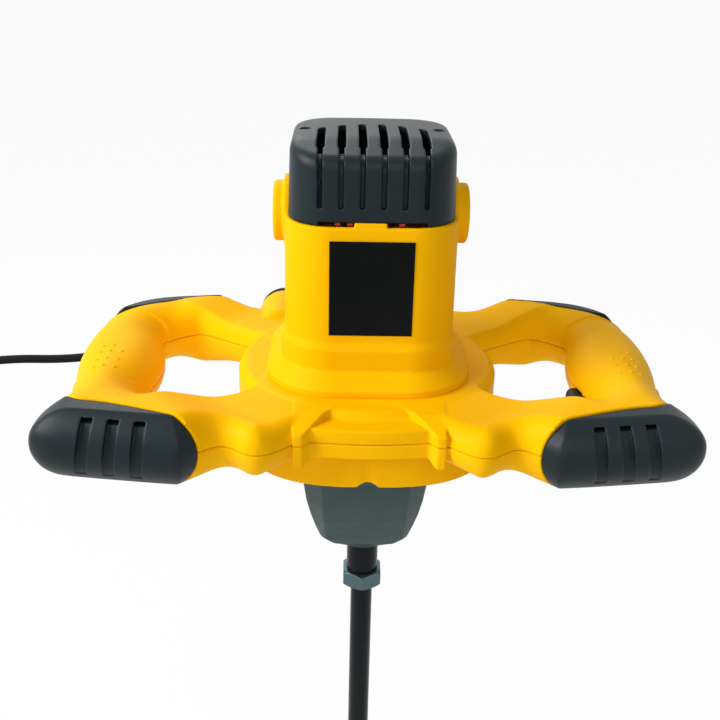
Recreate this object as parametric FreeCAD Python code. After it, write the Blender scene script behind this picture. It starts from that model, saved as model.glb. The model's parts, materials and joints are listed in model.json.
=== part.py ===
import FreeCAD, Part
import math
import os

# Twin-grip mixing drill in millimetres: +Z up, spindle axis on Z, handle parting plane at Z = 0.

os.makedirs("parts", exist_ok=True)
V = FreeCAD.Vector
X_AXIS = V(1, 0, 0)
Y_AXIS = V(0, 1, 0)
Z_AXIS = V(0, 0, 1)
CENTRE = V(0, 0, 0)

# Clearances shared by the fits
RUN_FIT = 0.05
HOLE_FIT = 0.1
SLIDE_FIT = 0.3
OVERRUN = 5.0

# Handle ring
HANDLE_HALF_WIDTH = 180.0
HANDLE_HALF_DEPTH = 104.0
HANDLE_HALF_HEIGHT = 20.0
HANDLE_EDGE_ROUND = 13.0
RING_ROUND_LEANS = [math.radians(a) for a in (-73.0, -52.0, -28.0, -1.0, 1.0, 28.0, 52.0, 73.0)]
HANDLE_WALL = 3.0
HANDLE_SIDE_WALL = 6.0
CAVITY_HALF_HEIGHT = 15.0
ARM_ROOT_TOP = 12.0
ARM_ROOT_BOTTOM = 15.0
ARM_ROOT_REACH = 100.0
ARM_RISE_REACH = 128.0
RING_FRONT_SHARES = [
    (0.0, 0.635), (0.155, 0.69), (0.222, 0.837), (0.317, 0.947), (0.405, 0.872), (0.467, 0.933),
    (0.535, 0.995), (0.722, 0.957), (0.885, 0.915), (0.954, 0.865), (0.973, 0.775), (0.946, 0.67),
    (0.914, 0.55), (0.909, 0.42), (0.929, 0.22), (0.949, 0.0),
]
RING_REAR_SHARES = [
    (0.0, 0.635), (0.155, 0.67), (0.222, 0.75), (0.317, 0.83), (0.405, 0.81), (0.467, 0.85),
    (0.535, 0.885), (0.69, 0.846), (0.8, 0.775), (0.877, 0.66), (0.928, 0.5), (0.951, 0.29), (0.949, 0.0),
]
RING_HOLE_REAR_SHARES = [
    (0.661, 0.0), (0.672, 0.192), (0.703, 0.36), (0.664, 0.49), (0.594, 0.562), (0.533, 0.514),
    (0.417, 0.38), (0.344, 0.285), (0.317, 0.0),
]
RING_HOLE_FRONT_SHARES = [
    (0.661, 0.0), (0.672, 0.192), (0.703, 0.36), (0.664, 0.49), (0.594, 0.562), (0.533, 0.524),
    (0.456, 0.495), (0.389, 0.445), (0.346, 0.34), (0.317, 0.0),
]

# Hub drum in the middle of the handle
HUB_RADIUS = 75.0
HUB_DROP = 33.0
HUB_CHAMFER = 4.0
HUB_WALL = 4.0
HUB_WEB = 4.0
HUB_NOTCH_RADIUS = 6.0
BAND_HALF_WIDTH = 34.0
BAND_FRONT = 87.0
BAND_HALF_HEIGHT = 8.5

# Corner bumpers
BUMPER_FRONT_SHARES = [(0.478, 0.916), (0.75, 0.777), (1.03, 0.634)]
BUMPER_REAR_SHARES = [
    (0.495, 0.79), (0.64, 0.73), (0.74, 0.672), (0.8, 0.6), (0.842, 0.505), (0.885, 0.42), (1.03, 0.4),
]
BUMPER_SLOT_WIDTH = 6.5
BUMPER_SLOT_HALF_HEIGHT = 15.0
BUMPER_SLOT_DEPTH = 3.0
BUMPER_SLOT_PLACES = (116.5, 130.5, 144.5)

# Motor housing
HOUSING_HALF = 46.2
HOUSING_CORNER = 25.0
HOUSING_WALL = 3.0
HOUSING_TOP = 103.0
COLLAR_PROUD = 2.0
COLLAR_TOP = 36.0
COLLAR_SHOULDER = 4.5
BRIM_HALF = 57.0
BRIM_CORNER = 38.0
BRIM_EDGE = 3.0
BRIM_RISE = 9.5
BRUSH_HEIGHT = 99.5
BRUSH_BOSS_RADIUS = 16.5
BRUSH_BOSS_REACH = 53.0
BRUSH_BOSS_START = 37.0
BRIDGE_FOOT_START = 30.0
BRIDGE_HALF_WIDTH = 12.0

# Vent cap
CAP_TOP = 144.0
CAP_HALF = 44.3
CAP_TOP_HALF = 43.0
CAP_WALL = 2.5
CAP_ROUND = 4.0
CAP_SLOT_WIDTH = 4.4
CAP_SLOT_PITCH = 10.85
CAP_SLOT_COUNT = 6
CAP_SLOT_BACK = 20.0
CAP_GROOVE_DEPTH = 1.5
CAP_GROOVE_BOTTOM = 112.2
CAP_GAP_HALF_WIDTH = 28.0
CAP_GAP_HEIGHT = 2.3
CAP_POST_RADIUS = 5.0
CAP_SCREW_PLACE = 36.0
CAP_SCREW_BACK = 4.0
CAP_SCREW_SEAT = 126.0

# Rating plate
PLATE_WIDTH = 44.0
PLATE_HEIGHT = 51.5
PLATE_BOTTOM = 44.7
PLATE_THICK = 0.5

# Motor
STATOR_BOTTOM = 30.0
STATOR_LENGTH = 52.0
STATOR_GAP = 0.4
STATOR_BORE = 25.4
STATOR_WINDOW = 37.0
STATOR_POLE_HALF = 17.0
COIL_INSET = 0.6
COIL_HEAD = 6.0
COIL_HEAD_RADIUS = 36.5
ARMATURE_GAP = 0.6
ARMATURE_SHORTER = 2.0
ARMATURE_SLOTS = 12
ARMATURE_SLOT_WIDTH = 2.2
ARMATURE_SLOT_DEPTH = 4.0
WINDING_RADIUS = 21.5
WINDING_HEAD = 8.0
SHAFT_RADIUS = 6.0
SHAFT_LOWER_RADIUS = 5.0
SHAFT_UPPER_RADIUS = 4.0
COMMUTATOR_RADIUS = 14.0
COMMUTATOR_LENGTH = 14.0
COMMUTATOR_BARS = 24
COMMUTATOR_CUT = 0.6
FAN_RADIUS = 42.0
FAN_LIFT = 3.5
FAN_HEIGHT = 12.0
FAN_DISC = 2.0
FAN_HUB = 9.5
FAN_BLADES = 12
FAN_BLADE_THICK = 1.6

# Brushes
BRUSH_WIDTH = 8.0
BRUSH_THICK = 6.0
BRUSH_LENGTH = 19.0
BRUSH_HOLDER_RADIUS = 7.4
BRUSH_HOLDER_GAP = 1.5
BRUSH_SPRING_RADIUS = 2.8
BRUSH_SPRING_WIRE = 0.6
BRUSH_CAP_RADIUS = 8.4
BRUSH_CAP_LENGTH = 6.5
BRUSH_CAP_SLOT = 1.8

# Bearings as bore radius, outer radius and width
TOP_BEARING = (SHAFT_UPPER_RADIUS, 11.0, 7.0)
LOWER_BEARING = (SHAFT_LOWER_RADIUS, 13.0, 8.0)
COUNTER_UPPER_BEARING = (4.0, 11.0, 7.0)
COUNTER_LOWER_BEARING = (5.0, 9.0, 8.0)
SPINDLE_UPPER_BEARING = (7.5, 17.5, 11.0)
SPINDLE_LOWER_BEARING = (10.0, 21.0, 12.0)
BEARING_RING_SHARE = 0.3
BEARING_GROOVE = 0.8
TOP_BEARING_PLACE = 116.0

# Gear plate and gear case
PLATE_RADIUS = 67.0
PLATE_DEPTH = 8.0
FLANGE_RADIUS = 70.5
FLANGE_THICK = 6.0
GASKET_THICK = 1.0
FIRST_CHAMBER_RADIUS = 52.0
FIRST_CHAMBER_FLOOR = -24.0
SECOND_CHAMBER_FLOOR = -54.0
SECOND_CHAMBER_RADIUS = 25.0
GREASE_TOP = -69.0
GREASE_BOTTOM = -82.0
GREASE_RADIUS = 26.0
CASE_BOTTOM = -108.0
CASE_HALF_WIDTH = 39.4
CASE_HALF_DEPTH = 41.0
CASE_CORNER = 48.2
CASE_LEVEL_SHARES = [
    (0.0, 1.0, 1.0), (0.293, 0.953, 0.963), (0.493, 0.905, 0.91), (0.627, 0.848, 0.85),
    (0.733, 0.784, 0.785), (0.827, 0.718, 0.72), (0.907, 0.652, 0.655), (0.96, 0.56, 0.562),
    (1.0, 0.46, 0.462),
]
CASE_SCREW_PLACE = 41.0
CASE_SCREW_RADIUS = 2.5
CASE_SCREW_TOP = 19.5
CASE_SCREW_HEAD_RADIUS = 4.2
CASE_SCREW_HEAD = 4.5

# Gear train: armature pinion, countershaft gear and pinion, output gear on the armature's axis
GEAR_OFFSET = 27.0
PRESSURE_ANGLE = math.radians(20.0)
BACKLASH = 0.24
FIRST_PINION_TEETH = 9
FIRST_GEAR_TEETH = 45
FIRST_SHIFT_SHARE = 0.5
SECOND_PINION_TEETH = 10
SECOND_GEAR_TEETH = 26
SECOND_SHIFT_SHARE = 0.45
PINION_ROOM = 0.6
TOOTH_TIP_SHARE = 0.94
TOOTH_ROOT_SHARE = 1.25
FLANK_STEPS = 5
FIRST_FACE_TOP = -11.0
FIRST_FACE_WIDTH = 11.0
SECOND_FACE_TOP = -36.0
SECOND_FACE_WIDTH = 14.0
PINION_OVERLAP = 1.0
COUNTER_SHAFT_RADIUS = 6.0

# Output spindle
SPINDLE_TOP = -30.0
SPINDLE_COLLAR_TOP = -122.0
SPINDLE_END = -132.0
SPINDLE_COLLAR_RADIUS = 11.7
SPINDLE_SHOULDER_RADIUS = 9.0
SPINDLE_BORE_TOP = -91.0
SPINDLE_LOWER_SEAT = -85.0
SEAL_TOP = -99.0
SEAL_RADIUS = 15.5
KEY_WIDTH = 4.0
KEY_HEIGHT = 4.0
RING_THICK = 1.2
RING_REACH = 2.5
RING_GROOVE = 0.6

# Rod, lock nut and paddle
ROD_RADIUS = 7.0
ROD_END = -560.0
NUT_FLATS = 24.0
NUT_HEIGHT = 15.0
NUT_CHAMFER = 1.5
PADDLE_RADIUS = 58.0
PADDLE_HEIGHT = 120.0
PADDLE_BAR_WIDTH = 14.0
PADDLE_BAR_THICK = 3.0
PADDLE_BARS = 3
PADDLE_TWIST = math.radians(120.0)
PADDLE_LEVELS = 6

# Switch, trigger, lock button and speed dial
TRIGGER_TRAVEL = 6.0
TRIGGER_FRONT = -50.0
TRIGGER_BACK = -13.0
TRIGGER_BOTTOM = -12.0
TRIGGER_TOP = -0.5
TRIGGER_FACE = 115.5
TRIGGER_REAR = 134.0
TRIGGER_LIP = 3.0
TRIGGER_LIP_PLACE = 129.0
TRIGGER_ROUND = 4.0
PLUNGER_RADIUS = 3.0
PLUNGER_REACH = 4.0
SPRING_WALL = 1.0
SWITCH_START = 141.0
SWITCH_WIDTH = 15.0
SWITCH_LENGTH = 39.0
SWITCH_HEIGHT = 21.0
SWITCH_FLOOR = -13.0
BUTTON_RADIUS = 5.0
BUTTON_FLANGE = 1.5
BUTTON_PROUD = 3.5
BUTTON_TRAVEL = 3.0
BUTTON_PLACE = (152.0, -18.0)
DIAL_PLACE = 52.0
DIAL_HEIGHT = -4.0
DIAL_RADIUS = 9.0
DIAL_LENGTH = 9.0
DIAL_SHAFT_RADIUS = 3.0
DIAL_START = 85.5
DIAL_GROOVES = 18
DIAL_GROOVE_RADIUS = 0.7
MODULE_WIDTH = 18.0
MODULE_DEPTH = 10.0
MODULE_FRONT = 62.5
MODULE_HEIGHT = 14.0

# Handle screws
SCREW_RADIUS = 2.0
SCREW_HEAD_RADIUS = 3.8
SCREW_HEAD = 3.0
SCREW_SEAT = -9.0
SCREW_TIP = 9.5
SCREW_POST_RADIUS = 5.0
SCREW_FRONT_SHARES = [(0.478, 0.68), (0.8, 0.55)]
SCREW_REAR_SHARES = [(0.478, 0.64), (0.806, 0.365)]

# Cord boss, sleeve, clamp, cord and plug
BOSS_PLACE = -54.0
BOSS_RADIUS = 17.0
BOSS_END = 101.0
BOSS_START = 78.0
BOSS_BORE = 12.0
SLEEVE_COLLAR_RADIUS = 16.5
SLEEVE_COLLAR_THICK = 4.0
SLEEVE_LEAN_SHARES = (-0.35, 0.8, -0.49)
SLEEVE_ROOT = 8.5
SLEEVE_TIP = 5.2
SLEEVE_LENGTH = 44.0
SLEEVE_RIBS = 6
SLEEVE_RIB_DEPTH = 1.2
CORD_DIAMETER = 6.5
COIL_RADIUS = 21.0
COIL_TURNS_IN = 4.0
COIL_TURNS_OUT = 4.75
COIL_CLIMB = 0.5
COIL_GAP = 1.3
COIL_APART = 60.0
COIL_SAMPLE_SHARE = 0.33
COIL_QUARTERS = 4
ROUTE_REACH_SHARE = 0.45
COIL_TAIL = 48.0
TIE_THICK = 1.2
TIE_WIDTH = 8.0
TIE_ROOM = 0.9
TIE_TURN = 0.75
PLUG_RADIUS = 18.5
PLUG_LENGTH = 36.0
PLUG_TAIL_RADIUS = 7.0
PLUG_TAIL = 18.0
PIN_RADIUS = 2.4
PIN_LENGTH = 19.0
PIN_SPACING = 19.0
CORD_LEAD = 26.0
CORD_ROUTE = [
    (-100.0, 172.0, -44.0), (-136.0, 180.0, -54.0), (-180.0, 180.0, -64.0), (-226.0, 176.0, -71.5),
    (-276.0, 170.0, -68.5), (-316.0, 164.0, -74.0), (-356.0, 164.0, -74.0),
]


def save(name, shape):
    """Write one node and print its volume, so that a broken solid shows at once."""
    solids = len(shape.Solids)
    print(f"{name}: {solids} solid(s), volume {shape.Volume:.0f}, valid {shape.isValid()}")
    shape.exportStep(f"parts/{name}.step")


def cylinder(radius, bottom, top, centre=(0.0, 0.0)):
    return Part.makeCylinder(radius, top - bottom, V(centre[0], centre[1], bottom), Z_AXIS)


def tube(outer, inner, bottom, top, centre=(0.0, 0.0)):
    hole = cylinder(inner, bottom - OVERRUN, top + OVERRUN, centre)
    return cylinder(outer, bottom, top, centre).cut(hole)


def rod_x(radius, start, end, y, z):
    return Part.makeCylinder(radius, abs(end - start), V(min(start, end), y, z), X_AXIS)


def rod_y(radius, start, end, x, z):
    return Part.makeCylinder(radius, abs(end - start), V(x, min(start, end), z), Y_AXIS)


def box(low, high):
    size = [b - a for a, b in zip(low, high)]
    return Part.makeBox(size[0], size[1], size[2], V(*low))


def turned(profile):
    """Solid of revolution about Z of a closed (radius, height) profile."""
    points = [V(r, 0, z) for r, z in profile]
    face = Part.Face(Part.makePolygon(points + points[:1]))
    return face.revolve(CENTRE, Z_AXIS, 360)


def mirrored_x(shape):
    return shape.mirror(CENTRE, X_AXIS)


def mirrored_y(shape):
    return shape.mirror(CENTRE, Y_AXIS)


def four_corners(front, rear):
    """A front and a rear shape of the right side, each with its mirror image on the left."""
    return [mirrored_x(front), front, mirrored_x(rear), rear]


def fused(shapes):
    whole = shapes[0].multiFuse(shapes[1:]) if len(shapes) > 1 else shapes[0]
    return whole.removeSplitter()


def rounded_square(half_x, half_y, corner, z):
    """Wire of a square with round corners, as four lines and four arcs."""
    edges = []
    a, b = half_x - corner, half_y - corner
    dip = corner * math.sqrt(0.5)
    for sx, sy, swap in ((1, 1, False), (-1, 1, True), (-1, -1, False), (1, -1, True)):
        side = V(sx * half_x, sy * b, z)
        top = V(sx * a, sy * half_y, z)
        middle = V(sx * (a + dip), sy * (b + dip), z)
        first, last = (top, side) if swap else (side, top)
        edges.append(Part.Arc(first, middle, last).toShape())
    loop = []
    for i, arc in enumerate(edges):
        loop.append(arc)
        after = edges[(i + 1) % len(edges)]
        loop.append(Part.makeLine(arc.valueAt(arc.LastParameter), after.valueAt(after.FirstParameter)))
    return Part.Wire(loop)


def rounded_block(half_low, corner_low, bottom, half_high, corner_high, top):
    low = rounded_square(half_low, half_low, corner_low, bottom)
    high = rounded_square(half_high, half_high, corner_high, top)
    return Part.makeLoft([low, high], True, True)


# Handle ring

def closed_spline(points, z):
    curve = Part.BSplineCurve()
    curve.interpolate(Points=[V(x, y, z) for x, y in points], PeriodicFlag=True)
    return Part.Wire(curve.toShape())


def ring_points(shares):
    return [(sx * HANDLE_HALF_WIDTH, sy * HANDLE_HALF_DEPTH) for sx, sy in shares]


def outer_loop():
    """The handle's outline, from the right side's points mirrored to the left."""
    front = [(x, -y) for x, y in ring_points(RING_FRONT_SHARES)]
    right = ring_points(RING_REAR_SHARES) + front[-2::-1]
    return right + [(-x, y) for x, y in reversed(right[1:-1])]


def hole_loop():
    front = [(x, -y) for x, y in ring_points(RING_HOLE_FRONT_SHARES)]
    return ring_points(RING_HOLE_REAR_SHARES) + front[-2:0:-1]


def moved_inward(points, distance):
    """Loop points shifted to the loop's left, square to the chord of their neighbours."""
    moved = []
    for i, (x, y) in enumerate(points):
        ahead = points[(i + 1) % len(points)]
        behind = points[i - 1]
        run = (ahead[0] - behind[0], ahead[1] - behind[1])
        size = math.hypot(*run)
        moved.append((x - run[1] / size * distance, y + run[0] / size * distance))
    return moved


def ring_slab(inset, half_height):
    outer = closed_spline(moved_inward(outer_loop(), -inset), -half_height)
    right = closed_spline(moved_inward(hole_loop(), -inset), -half_height)
    slab = Part.Face(outer).extrude(V(0, 0, 2 * half_height))
    gap = Part.Face(right).extrude(V(0, 0, 2 * half_height))
    return slab.cut(gap).cut(mirrored_x(gap))


def arm_roof(lower_by):
    """What the ring loses near the hub, where its arms are thinner than its grips."""
    rise = HANDLE_HALF_HEIGHT - ARM_ROOT_TOP
    slope = (ARM_RISE_REACH - ARM_ROOT_REACH) / rise
    over = rise + OVERRUN
    reach = ARM_ROOT_REACH + slope * over
    top = Part.makeCone(ARM_ROOT_REACH, reach, over, V(0, 0, ARM_ROOT_TOP - lower_by), Z_AXIS)
    bottom = Part.makeCone(ARM_ROOT_REACH, reach, over, V(0, 0, lower_by - ARM_ROOT_BOTTOM), -Z_AXIS)
    return top.fuse(bottom)


def rounded_ring():
    """The ring with rounded edges, as lofts through outlines that draw in towards top and bottom."""
    sections = []
    for lean in RING_ROUND_LEANS:
        inset = HANDLE_EDGE_ROUND * (1 - math.cos(lean))
        lift = HANDLE_EDGE_ROUND * (math.sin(abs(lean)) - 1) + HANDLE_HALF_HEIGHT
        sections.append((inset, math.copysign(lift, lean)))
    outlines = [closed_spline(moved_inward(outer_loop(), -d), z) for d, z in sections]
    outer = Part.makeLoft(outlines, True, True)
    gap = Part.makeLoft([closed_spline(moved_inward(hole_loop(), -d), z) for d, z in sections], True, True)
    return outer.cut(gap).cut(mirrored_x(gap))


def bumper_prism(shares, grow):
    """What the bumper takes of a rear right corner beyond a line, grown all round by a wall."""
    line = ring_points(shares)
    end = HANDLE_HALF_WIDTH + OVERRUN
    far = HANDLE_HALF_DEPTH + OVERRUN
    loop = moved_inward(line + [(end, far), (line[0][0], far)], -grow)
    low = -HANDLE_HALF_HEIGHT - OVERRUN
    points = [V(x, y, low) for x, y in loop]
    curve = Part.BSplineCurve()
    curve.interpolate(points[:len(line)])
    sides = Part.makePolygon(points[len(line) - 1:] + points[:1])
    wire = Part.Wire([curve.toShape()] + sides.Edges)
    return Part.Face(wire).extrude(V(0, 0, -2 * low))


def bumper_prisms(grow):
    front = mirrored_y(bumper_prism(BUMPER_FRONT_SHARES, grow))
    return four_corners(front, bumper_prism(BUMPER_REAR_SHARES, grow))


def screw_places():
    """Handle screw centres: one in each arm and one at each end of each grip."""
    places = []
    for side in (-1, 1):
        places += [(side * x, -y) for x, y in ring_points(SCREW_FRONT_SHARES)]
        places += [(side * x, y) for x, y in ring_points(SCREW_REAR_SHARES)]
    return places


def case_screw_places():
    return [(sx * CASE_SCREW_PLACE, sy * CASE_SCREW_PLACE) for sx in (-1, 1) for sy in (-1, 1)]


def hub_drum():
    drum = cylinder(HUB_RADIUS, -HUB_DROP, ARM_ROOT_TOP)
    rim = [e for e in drum.Edges if abs(e.CenterOfMass.z - ARM_ROOT_TOP) < RUN_FIT]
    drum = drum.makeChamfer(HUB_CHAMFER, rim)
    band = box((-BAND_HALF_WIDTH, 0, -BAND_HALF_HEIGHT), (BAND_HALF_WIDTH, BAND_FRONT, BAND_HALF_HEIGHT))
    return fused([drum, band, mirrored_y(band)])


def handle_cavity():
    """Hollow of the arms and grips, clear of the hub, the bumpers and the screw posts."""
    cavity = ring_slab(HANDLE_SIDE_WALL, CAVITY_HALF_HEIGHT).cut(arm_roof(HANDLE_WALL))
    cavity = cavity.cut(cylinder(HUB_RADIUS, -HUB_DROP - OVERRUN, CAP_TOP))
    for prism in bumper_prisms(HANDLE_WALL):
        cavity = cavity.cut(prism)
    for place in screw_places():
        cavity = cavity.cut(cylinder(SCREW_POST_RADIUS, -CAVITY_HALF_HEIGHT, CAVITY_HALF_HEIGHT, place))
    return cavity


def handle_bodies():
    """Upper shell, lower shell and the four bumpers."""
    ring = rounded_ring()
    prisms = bumper_prisms(0.0)
    bumpers = [ring.common(prism) for prism in prisms]
    boss = rod_y(BOSS_RADIUS, BOSS_START, BOSS_END, BOSS_PLACE, 0)
    body = fused([ring.cut(arm_roof(0.0)), hub_drum(), boss])
    for prism in prisms:
        body = body.cut(prism)
    body = body.cut(handle_cavity())
    body = body.cut(rod_y(BOSS_BORE, BOSS_START - OVERRUN, BOSS_END + OVERRUN, BOSS_PLACE, 0))
    reach = HANDLE_HALF_WIDTH + OVERRUN
    upper_space = box((-reach, -reach, 0), (reach, reach, CAP_TOP))
    upper = body.common(upper_space)
    lower = body.cut(upper_space)
    upper = upper.cut(cylinder(fan_bore(), -OVERRUN, ARM_ROOT_TOP + OVERRUN))
    lower = lower.cut(cylinder(PLATE_RADIUS + SLIDE_FIT, -HUB_DROP - OVERRUN, OVERRUN))
    lower = lower.cut(cylinder(HUB_RADIUS - HUB_WALL, web_bottom() + HUB_WEB, OVERRUN))
    lower = lower.cut(cylinder(HUB_RADIUS - HUB_WALL, -HUB_DROP - OVERRUN, web_bottom()))
    lower = lower.cut(rod_y(HUB_NOTCH_RADIUS, -HUB_RADIUS - OVERRUN, -FLANGE_RADIUS, 0, -HUB_DROP))
    for place in screw_places():
        lower = lower.cut(cylinder(SCREW_RADIUS + HOLE_FIT, SCREW_SEAT - OVERRUN, OVERRUN, place))
        lower = lower.cut(cylinder(SCREW_HEAD_RADIUS + HOLE_FIT, -HUB_DROP, SCREW_SEAT, place))
        upper = upper.cut(cylinder(SCREW_RADIUS, -OVERRUN, SCREW_TIP + HOLE_FIT, place))
    for place in case_screw_places():
        upper = upper.cut(cylinder(CASE_SCREW_RADIUS + HOLE_FIT, -OVERRUN, ARM_ROOT_TOP + OVERRUN, place))
    return upper, lower, bumpers


def fan_bore():
    return FAN_RADIUS + HUB_WALL


def web_bottom():
    return -HUB_DROP + FLANGE_THICK + GASKET_THICK


def bumper_slots(shares):
    """Three upright slots in the outer face of a rear right bumper with this outline."""
    slots = []
    for x in BUMPER_SLOT_PLACES:
        half = BUMPER_SLOT_WIDTH / 2
        slots.append(box((x - half, outline_depth(shares, x) - BUMPER_SLOT_DEPTH, -BUMPER_SLOT_HALF_HEIGHT),
                         (x + half, HANDLE_HALF_DEPTH + OVERRUN, BUMPER_SLOT_HALF_HEIGHT)))
    return Part.makeCompound(slots)


def outline_depth(shares, x):
    """Depth of an outline's far side at a place along X, between its two nearest points."""
    points = ring_points(shares)
    spans = [(a, b) for a, b in zip(points, points[1:]) if a[0] <= x <= b[0]]
    (x0, y0), (x1, y1) = spans[0]
    return y0 + (y1 - y0) * (x - x0) / (x1 - x0)


# Motor housing, cap and plate

def motor_housing():
    collar_half = HOUSING_HALF + COLLAR_PROUD
    collar_corner = HOUSING_CORNER + COLLAR_PROUD
    brim_top = ARM_ROOT_TOP + BRIM_EDGE
    collar_bottom = brim_top + BRIM_RISE
    inner = HOUSING_HALF - HOUSING_WALL
    inner_corner = HOUSING_CORNER - HOUSING_WALL
    shoulder_top = COLLAR_TOP + COLLAR_SHOULDER
    outer = fused([
        rounded_block(BRIM_HALF, BRIM_CORNER, ARM_ROOT_TOP, BRIM_HALF, BRIM_CORNER, brim_top),
        rounded_block(BRIM_HALF, BRIM_CORNER, brim_top, collar_half, collar_corner, collar_bottom),
        rounded_block(collar_half, collar_corner, collar_bottom, collar_half, collar_corner, COLLAR_TOP),
        rounded_block(collar_half, collar_corner, COLLAR_TOP, HOUSING_HALF, HOUSING_CORNER, shoulder_top),
        rounded_block(HOUSING_HALF, HOUSING_CORNER, shoulder_top, HOUSING_HALF, HOUSING_CORNER, HOUSING_TOP),
    ])
    hollow = rounded_block(inner, inner_corner, ARM_ROOT_TOP - OVERRUN, inner, inner_corner,
                           HOUSING_TOP + OVERRUN)
    boss = rod_x(BRUSH_BOSS_RADIUS, BRUSH_BOSS_START, BRUSH_BOSS_REACH, 0, BRUSH_HEIGHT)
    bridge_bottom = TOP_BEARING_PLACE - HOUSING_WALL
    bridge_top = TOP_BEARING_PLACE + TOP_BEARING[2]
    bridge_half = cap_inner_half(bridge_top) - SLIDE_FIT
    bridge = box((-bridge_half, -BRIDGE_HALF_WIDTH, bridge_bottom),
                 (bridge_half, BRIDGE_HALF_WIDTH, bridge_top))
    foot = fused([box((-bridge_half, -BRIDGE_HALF_WIDTH, BRUSH_HEIGHT),
                      (-BRIDGE_FOOT_START, BRIDGE_HALF_WIDTH, bridge_bottom))])
    body = fused([outer.cut(hollow), boss, mirrored_x(boss), bridge, foot, mirrored_x(foot)])
    body = body.cut(cylinder(TOP_BEARING[1], TOP_BEARING_PLACE, bridge_top + OVERRUN))
    body = body.cut(cylinder(SHAFT_RADIUS + SLIDE_FIT, BRUSH_HEIGHT, bridge_top + OVERRUN))
    cap_start = BRUSH_BOSS_REACH - BRUSH_CAP_LENGTH
    for side in (-1, 1):
        holder_hole = rod_x(BRUSH_HOLDER_RADIUS, 0, side * cap_start, 0, BRUSH_HEIGHT)
        cap_hole = rod_x(BRUSH_CAP_RADIUS, side * cap_start, side * (BRUSH_BOSS_REACH + OVERRUN), 0,
                         BRUSH_HEIGHT)
        screw_hole = cylinder(SCREW_RADIUS, cap_screw_tip() - HOLE_FIT, CAP_TOP,
                              (side * CAP_SCREW_PLACE, CAP_SCREW_BACK))
        body = body.cut(holder_hole).cut(cap_hole).cut(screw_hole)
    for place in case_screw_places():
        body = body.cut(cylinder(CASE_SCREW_RADIUS, ARM_ROOT_TOP - OVERRUN, CASE_SCREW_TOP + HOLE_FIT, place))
    return body


def cap_screw_tip():
    return BRUSH_HEIGHT + BRUSH_HOLDER_RADIUS + HOUSING_WALL


def cap_inner_half(z):
    share = (z - HOUSING_TOP) / (CAP_TOP - HOUSING_TOP)
    return CAP_HALF + (CAP_TOP_HALF - CAP_HALF) * share - CAP_WALL


def vent_cap():
    corner = HOUSING_CORNER - (HOUSING_HALF - CAP_HALF)
    top_corner = corner - (CAP_HALF - CAP_TOP_HALF)
    outer = rounded_block(CAP_HALF, corner, HOUSING_TOP, CAP_TOP_HALF, top_corner, CAP_TOP)
    rim = [e for e in outer.Edges if abs(e.CenterOfMass.z - CAP_TOP) < RUN_FIT]
    outer = outer.makeFillet(CAP_ROUND, rim)
    ceiling = CAP_TOP - CAP_WALL
    inner = rounded_block(CAP_HALF - CAP_WALL, corner - CAP_WALL, HOUSING_TOP,
                          cap_inner_half(ceiling), top_corner - CAP_WALL, ceiling)
    inner_rim = [e for e in inner.Edges if abs(e.CenterOfMass.z - ceiling) < RUN_FIT]
    cap = outer.cut(inner.makeFillet(CAP_ROUND - CAP_WALL, inner_rim))
    post_bottom = TOP_BEARING_PLACE + TOP_BEARING[2] + SLIDE_FIT
    for side in (-1, 1):
        place = (side * CAP_SCREW_PLACE, CAP_SCREW_BACK)
        cap = cap.fuse(cylinder(CAP_POST_RADIUS, post_bottom, ceiling + RUN_FIT, place))
        cap = cap.cut(cylinder(SCREW_HEAD_RADIUS - HOLE_FIT, CAP_SCREW_SEAT, CAP_TOP + OVERRUN, place))
        cap = cap.cut(cylinder(SCREW_RADIUS + HOLE_FIT, post_bottom - OVERRUN, CAP_TOP, place))
        notch = rod_x(BRUSH_BOSS_RADIUS + SLIDE_FIT, side * BRUSH_BOSS_START,
                      side * (BRUSH_BOSS_REACH + OVERRUN), 0, BRUSH_HEIGHT)
        cap = cap.cut(notch)
    for i in range(CAP_SLOT_COUNT):
        x = (i - (CAP_SLOT_COUNT - 1) / 2) * CAP_SLOT_PITCH
        half = CAP_SLOT_WIDTH / 2
        front = CAP_TOP_HALF + OVERRUN
        cap = cap.cut(box((x - half, CAP_ROUND - CAP_TOP_HALF, ceiling - OVERRUN),
                          (x + half, CAP_SLOT_BACK, CAP_TOP + OVERRUN)))
        for side in (-1, 1):
            wall = CAP_TOP_HALF - CAP_GROOVE_DEPTH
            groove = box((x - half, min(side * wall, side * front), CAP_GROOVE_BOTTOM),
                         (x + half, max(side * wall, side * front), CAP_TOP - CAP_ROUND))
            cap = cap.cut(groove)
    reach = HOUSING_HALF + OVERRUN
    gap = box((-CAP_GAP_HALF_WIDTH, -reach, HOUSING_TOP - OVERRUN),
              (CAP_GAP_HALF_WIDTH, reach, HOUSING_TOP + CAP_GAP_HEIGHT))
    return cap.cut(gap)


def rating_plate():
    half = PLATE_WIDTH / 2
    return box((-half, -HOUSING_HALF - PLATE_THICK, PLATE_BOTTOM),
               (half, -HOUSING_HALF, PLATE_BOTTOM + PLATE_HEIGHT))


# Gears

def involute(angle):
    return math.tan(angle) - angle


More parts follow.
